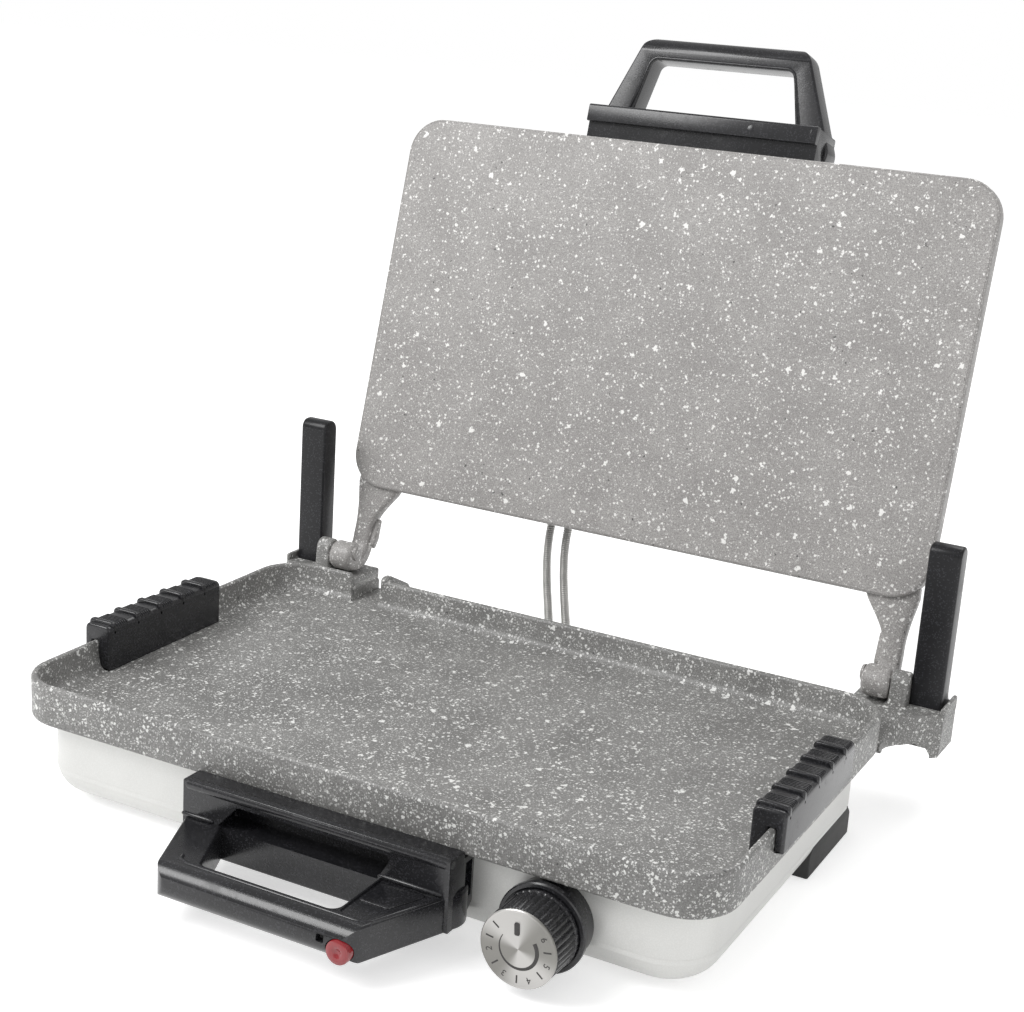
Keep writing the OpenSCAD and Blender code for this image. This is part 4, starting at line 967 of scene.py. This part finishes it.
def arm_mesh(place):
    """Gooseneck arm: broad where it leaves the plate, waisted at the neck, and curled down to a round hub."""
    bend_r = LID_TOP - HINGE_Z - 4.75
    bend_y = HINGE_Y + 12.3 - bend_r
    bend_z = LID_TOP - bend_r
    stations = [(239.0, LID_TOP - 4.6, 0.0, 9.0, 156.5, 189.0)]
    for y, lo, hi in ((245.0, 157.5, 189.4), (250.0, 160.2, 188.6), (255.0, 163.8, 187.6), (260.0, 167.5, 186.8), (265.0, 170.6, 186.2),
                      (270.0, 172.8, 185.8), (275.0, 173.8, 185.8), (279.0, 174.0, 186.0)):
        stations.append((y, LID_TOP - 4.5, 0.0, 9.0, lo, hi))
    for a in range(90, -1, -10):
        wide = (90 - a) / 90
        stations.append((bend_y + (bend_r - 4.5) * cos(radians(a)), bend_z + (bend_r - 4.5) * sin(radians(a)), 90.0 - a, 9.0,
                         174.0 - 2.6 * wide, 186.0 + 1.3 * wide))
    stations.append((HINGE_Y + 7.5, HINGE_Z - 1.0, 92.0, 9.0, 171.4, 187.3))
    points, faces = [], []
    section = rounded([(-0.5, -0.5), (0.5, -0.5), (0.5, 0.5), (-0.5, 0.5)], 0.24, 4)
    n = len(section)
    for y, z, turn, t, lo, hi in stations:
        ny, nz = sin(radians(turn)), cos(radians(turn))
        for u, v in section:
            points.append(((lo + hi) / 2 + u * (hi - lo), y + ny * v * t, z + nz * v * t))
    for k in range(len(stations) - 1):
        for i in range(n):
            j = (i + 1) % n
            faces.append((k * n + i, k * n + j, (k + 1) * n + j, (k + 1) * n + i))
    last = (len(stations) - 1) * n
    faces += [tuple(range(n)), tuple(range(last, last + n))]
    neck = mesh_from(points, faces, place)
    hub = plate([arc(HINGE_Y + 2.9, HINGE_Z + 0.8, 9.2, 0, 351, 39)], 171.2, 187.5, 3.6, lambda p: place(along_x(p)), 5)
    tab = rounded([(268.0, LID_TOP - 0.2), (281.0, LID_TOP - 0.4), (288.5, LID_TOP - 3.6), (285.0, LID_TOP - 6.5), (268.0, LID_TOP - 4.6)],
                  [1.5, 3, 1.5, 1.5, 1.5])
    stop = plate([tab], 170.4, 178.0, 0.8, lambda p: place(along_x(p)), 2)
    return [neck, hub, stop]


def make_pins():
    """Hinge pins: a low domed head on the arm's inner face, the shank on to the post."""
    meshes = []
    for side in (on_base, mirrored(on_base)):
        profile = [(0.05, 169.2), (2.4, 169.3), (4.4, 169.9), (5.0, 170.9), (5.0, 171.4), (4.0, 171.4), (4.0, 197.7), (0.05, 197.7)]
        meshes.append(lathe_y(profile, 0.0, 0.0, lambda p, s=side: s((p[1], HINGE_Y + p[0], HINGE_Z + p[2])), 40))
    finish_mesh("hinge_pin_pair", joined(meshes), LID_STONE, "base", ["hinge_pins"], 35)


def make_lid():
    bosses = [lathe_z([(0.1, LID_Z + 4.6), (5, LID_Z + 4.6), (5, COVER_TOP - 1.05), (2.0, COVER_TOP - 1.05), (2.0, COVER_TOP - 20), (0.1, COVER_TOP - 20)],
                      sx * 150, y, on_lid, 24) for sx in (-1, 1) for y in (38, 215)]
    parts = [lid_slab(), *arm_mesh(on_lid), *arm_mesh(mirrored(on_lid)), *bosses]
    finish_mesh("lid_casting", joined(parts), LID_STONE, "lid", ["lid_plate"], 35)
    cover = drawn_sheet(COVER_X, COVER_FRONT, COVER_BACK, LID_TOP, COVER_TOP, 24.0, 12.0, on_lid, -1)
    finish_mesh("lid_cover_shell", cover, SILVER, "lid", ["lid_cover"], 35)


# ---------- conduits ----------


def conduit_route(i):
    """The same route as the solids': straight out of the lid's ferrule, one even bend, straight into the base's."""
    a0 = on_lid((-55 + 12 * i, COVER_BACK + 1.02, LID_TOP + 12))
    a1 = on_lid((-55 + 12 * i, COVER_BACK + 15.02, LID_TOP + 12))
    b0 = on_base((-22 + 12 * i, PAN_BACK + 1.02, 30))
    b1 = on_base((-22 + 12 * i, PAN_BACK + 15.02, 30))
    k = (a1 - b1).length * 0.38
    c1, c2 = a1 + (a1 - a0).normalized() * k, b1 + Vector((0, k, 0))
    points = [a0 + (a1 - a0) * j / 6 for j in range(6)]
    for j in range(41):
        t = j / 40
        points.append((1 - t) ** 3 * a1 + 3 * t * (1 - t) ** 2 * c1 + 3 * t * t * (1 - t) * c2 + t ** 3 * b1)
    points += [b1 + (b0 - b1) * j / 6 for j in range(1, 7)]
    return points


def winding_tree():
    """Winds a round wire about a route, with a set number of turns."""
    g = Grower("wind_wire", [("Coil Radius", "Float"), ("Wire Radius", "Float"), ("Turns", "Int"), ("Steps", "Int")])
    count = g.math("MULTIPLY", g.given["Turns"], g.given["Steps"])
    route = g.node("GeometryNodeResampleCurve", None, {"Curve": g.given["Geometry"], "Count": count})
    turn = g.math("MULTIPLY", g.node("GeometryNodeInputIndex"), g.math("DIVIDE", 2 * pi, g.given["Steps"]))
    normal, tangent = g.node("GeometryNodeInputNormal"), g.node("GeometryNodeInputTangent")
    across = g.node("ShaderNodeVectorMath", {"operation": "CROSS_PRODUCT"}, {0: tangent, 1: normal})
    parts = []
    for operation, axis in (("COSINE", normal), ("SINE", across)):
        size = g.math("MULTIPLY", g.math(operation, turn), g.given["Coil Radius"])
        parts.append(g.node("ShaderNodeVectorMath", {"operation": "SCALE"}, {0: axis, "Scale": size}))
    offset = g.node("ShaderNodeVectorMath", {"operation": "ADD"}, {0: parts[0], 1: parts[1]})
    wound = g.node("GeometryNodeSetPosition", None, {"Geometry": route, "Offset": offset})
    ring = g.node("GeometryNodeCurvePrimitiveCircle", None, {"Resolution": 8, "Radius": g.given["Wire Radius"]}, "Curve")
    return g.end(g.node("GeometryNodeCurveToMesh", None, {"Curve": wound, "Profile Curve": ring, "Fill Caps": True}))


def make_conduits():
    tree = winding_tree()
    for i, name in ((0, "left"), (1, "right")):
        points = conduit_route(i)
        length = sum((b - a).length for a, b in zip(points, points[1:]))
        curve = bpy.data.curves.new("route", "CURVE")
        curve.dimensions = "3D"
        line = curve.splines.new("POLY")
        line.points.add(len(points) - 1)
        for at, p in zip(line.points, points):
            at.co = (*p, 1.0)
        mesh = grown(curve, tree, {"Coil Radius": 0.00215, "Wire Radius": 0.00064, "Turns": int(length / 0.00132), "Steps": 14,
                                   "Material": WINDING})
        piece = bpy.data.objects.new("wound_conduit_" + name, mesh)
        mesh.materials.clear()
        mesh.materials.append(WINDING)
        bpy.context.scene.collection.objects.link(piece)
        shade(mesh, 60)
        tuple(points[6])
        tuple(points[-7])
        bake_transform(piece)
        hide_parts("conduit_" + name)


# ---------- screws ----------


def screw_mesh(head_r, shank_r, length, place_at):
    """Pan-head screw with a domed, cross-slotted head; z = 0 at the underside of the head, shank upwards."""
    profile = [(0.05, length), (shank_r * 0.7, length), (shank_r, length - 0.6), (shank_r, 0.0), (head_r * 0.97, 0.0), (head_r, -0.35),
               (head_r * 0.93, -1.1), (head_r * 0.7, -1.65), (head_r * 0.35, -1.93), (0.05, -2.0)]
    body = lathe_z(profile, 0, 0, place_at, 24)
    w = head_r * 0.13
    slots = [box(-head_r * 0.5, -w, -2.5, head_r * 0.5, w, -1.0, place_at), box(-w, -head_r * 0.5, -2.5, w, head_r * 0.5, -1.0, place_at)]
    return cut(body, *slots)


def make_screws():
    groups = {
        "tray_screws": ("base", 30.0, [(sx * 150, y, 4.3) for sx in (-1, 1) for y in (38, 215)], 1, on_base),
        "cover_screws": ("lid", 20.0, [(sx * 150, y, COVER_TOP) for sx in (-1, 1) for y in (38, 215)], -1, on_lid),
        "post_screws": ("base", 16.0, [(sx * 207.75, 298.0, EAR_TOP - 10) for sx in (-1, 1)], 1, on_base),
    }
    tree = screw_tree()
    for name, (body, length, places, up, frame_of) in groups.items():
        screw = screw_mesh(4.0, 2.0, length, lambda p: frame_of((p[0], p[1], up * p[2])) - frame_of((0, 0, 0)))
        holder = bpy.data.objects.new("one_screw", screw)
        bpy.context.scene.collection.objects.link(holder)
        points = bpy.data.meshes.new("places")
        points.from_pydata([frame_of(c) for c in places], [], [])
        mesh = grown(points, tree, {"Screw": holder, "Material": ZINC})
        bpy.data.objects.remove(holder)
        finish_mesh(name + "_set", mesh, ZINC, body, [name], 35)


# ---------- what the solids already show right ----------


def dress_nodes():
    dress(ZINC, "lower_element_clamps", "lower_clamp_screws", "base_handle_screws", "feet_screws", "base_ferrules")
    dress(ZINC, "upper_element_clamps", "upper_clamp_screws", "lid_handle_screws", "lid_ferrules")
    dress(BRIGHT, "lower_element", "upper_element", "lower_heat_shield", "upper_heat_shield", "thermostat_shaft")
    dress(BRASS, "thermostat_nut", "terminal_screws")
    dress(CERAMIC, "thermostat", "terminal_block", "lamp_holder")
    dress(SLEEVE, "lead_mains", "lead_thermostat")
    dress(RUBBER, "mains_gland")


# ---------- camera, floor and light ----------


def make_camera():
    azimuth, elevation, roll = radians(26.938), radians(16.4505), radians(3.7812)
    back = Vector((sin(azimuth) * cos(elevation), -cos(azimuth) * cos(elevation), sin(elevation)))
    right = (-back).cross(Vector((0, 0, 1))).normalized()
    up = right.cross(-back)
    side = right * cos(roll) + up * sin(roll)
    top = up * cos(roll) - right * sin(roll)
    target = on_base((11.266, 150.0, 168.653))
    data = bpy.data.cameras.new("camera")
    data.sensor_fit = "HORIZONTAL"
    data.sensor_width = 36.0
    data.lens = 1850.2 / 1024 * 36.0
    data.clip_start = 0.05
    data.clip_end = 50.0
    camera = bpy.data.objects.new("camera", data)
    bpy.context.scene.collection.objects.link(camera)
    camera.matrix_world = Matrix.Translation(target + back * 0.97358) @ Matrix((side, top, back)).transposed().to_4x4()
    bpy.context.scene.camera = camera


def pale_floor():
    """Pale matt floor that reads as plain white to the camera and in reflections, and keeps the object's shadow."""
    f = Finish("pale_floor")
    seen = [f.node("ShaderNodeLightPath", output=name) for name in ("Is Camera Ray", "Is Glossy Ray", "Is Transmission Ray")]
    either = seen[0].math("MAXIMUM", seen[1]).math("MAXIMUM", seen[2])
    return f.set(base=(0.80, 0.80, 0.80, 1.0), rough=0.9, glow=either * FLOOR_GLOW, glow_color=(1.0, 1.0, 1.0, 1.0))


def make_floor():
    mesh = bpy.data.meshes.new("floor")
    size = 6.0
    mesh.from_pydata([(-size, -size, 0), (size, -size, 0), (size, size, 0), (-size, size, 0)], [], [(0, 1, 2, 3)])
    mesh.materials.append(pale_floor())
    floor = bpy.data.objects.new("floor", mesh)
    bpy.context.scene.collection.objects.link(floor)


def area_light(name, at, toward, size, watts, size_y=None):
    data = bpy.data.lights.new(name, "AREA")
    data.shape = "RECTANGLE"
    data.size, data.size_y = size, size_y or size
    data.energy = watts
    lamp = bpy.data.objects.new(name, data)
    bpy.context.scene.collection.objects.link(lamp)
    direction = Vector(toward) - Vector(at)
    lamp.matrix_world = Matrix.Translation(Vector(at)) @ direction.to_track_quat("-Z", "Y").to_matrix().to_4x4()


def make_light():
    world = bpy.data.worlds.new("studio")
    bpy.context.scene.world = world
    world.use_nodes = True
    nodes, links = world.node_tree.nodes, world.node_tree.links
    soft = nodes["Background"]
    soft.inputs["Color"].default_value = (1.0, 1.0, 1.0, 1.0)
    soft.inputs["Strength"].default_value = 0.58
    seen = nodes.new("ShaderNodeBackground")
    seen.inputs["Color"].default_value = (1.0, 1.0, 1.0, 1.0)
    seen.inputs["Strength"].default_value = 1.0
    rays = nodes.new("ShaderNodeLightPath")
    mixer = nodes.new("ShaderNodeMixShader")
    either = nodes.new("ShaderNodeMath")
    either.operation = "MAXIMUM"
    links.new(rays.outputs["Is Camera Ray"], either.inputs[0])
    links.new(rays.outputs["Is Transmission Ray"], either.inputs[1])
    links.new(either.outputs[0], mixer.inputs[0])
    links.new(soft.outputs[0], mixer.inputs[1])
    links.new(seen.outputs[0], mixer.inputs[2])
    links.new(mixer.outputs[0], nodes["World Output"].inputs["Surface"])
    area_light("key_from_left", (-1.15, -1.25, 1.7), (0.0, 0.0, 0.1), 1.1, 33.0)
    area_light("fill_from_right", (1.6, -0.9, 0.9), (0.0, 0.0, 0.15), 1.2, 4.5)
    area_light("top_rear", (0.2, 1.4, 1.9), (0.0, 0.0, 0.15), 1.2, 14.0)


make_tray()
make_housing()
make_feet()
make_handles()
make_lens()
make_knob()
make_posts()
make_grips()
make_lid()
make_pins()
make_conduits()
make_screws()
dress_nodes()
make_camera()
make_floor()
make_light()
bpy.context.scene.view_settings.view_transform = "Standard"
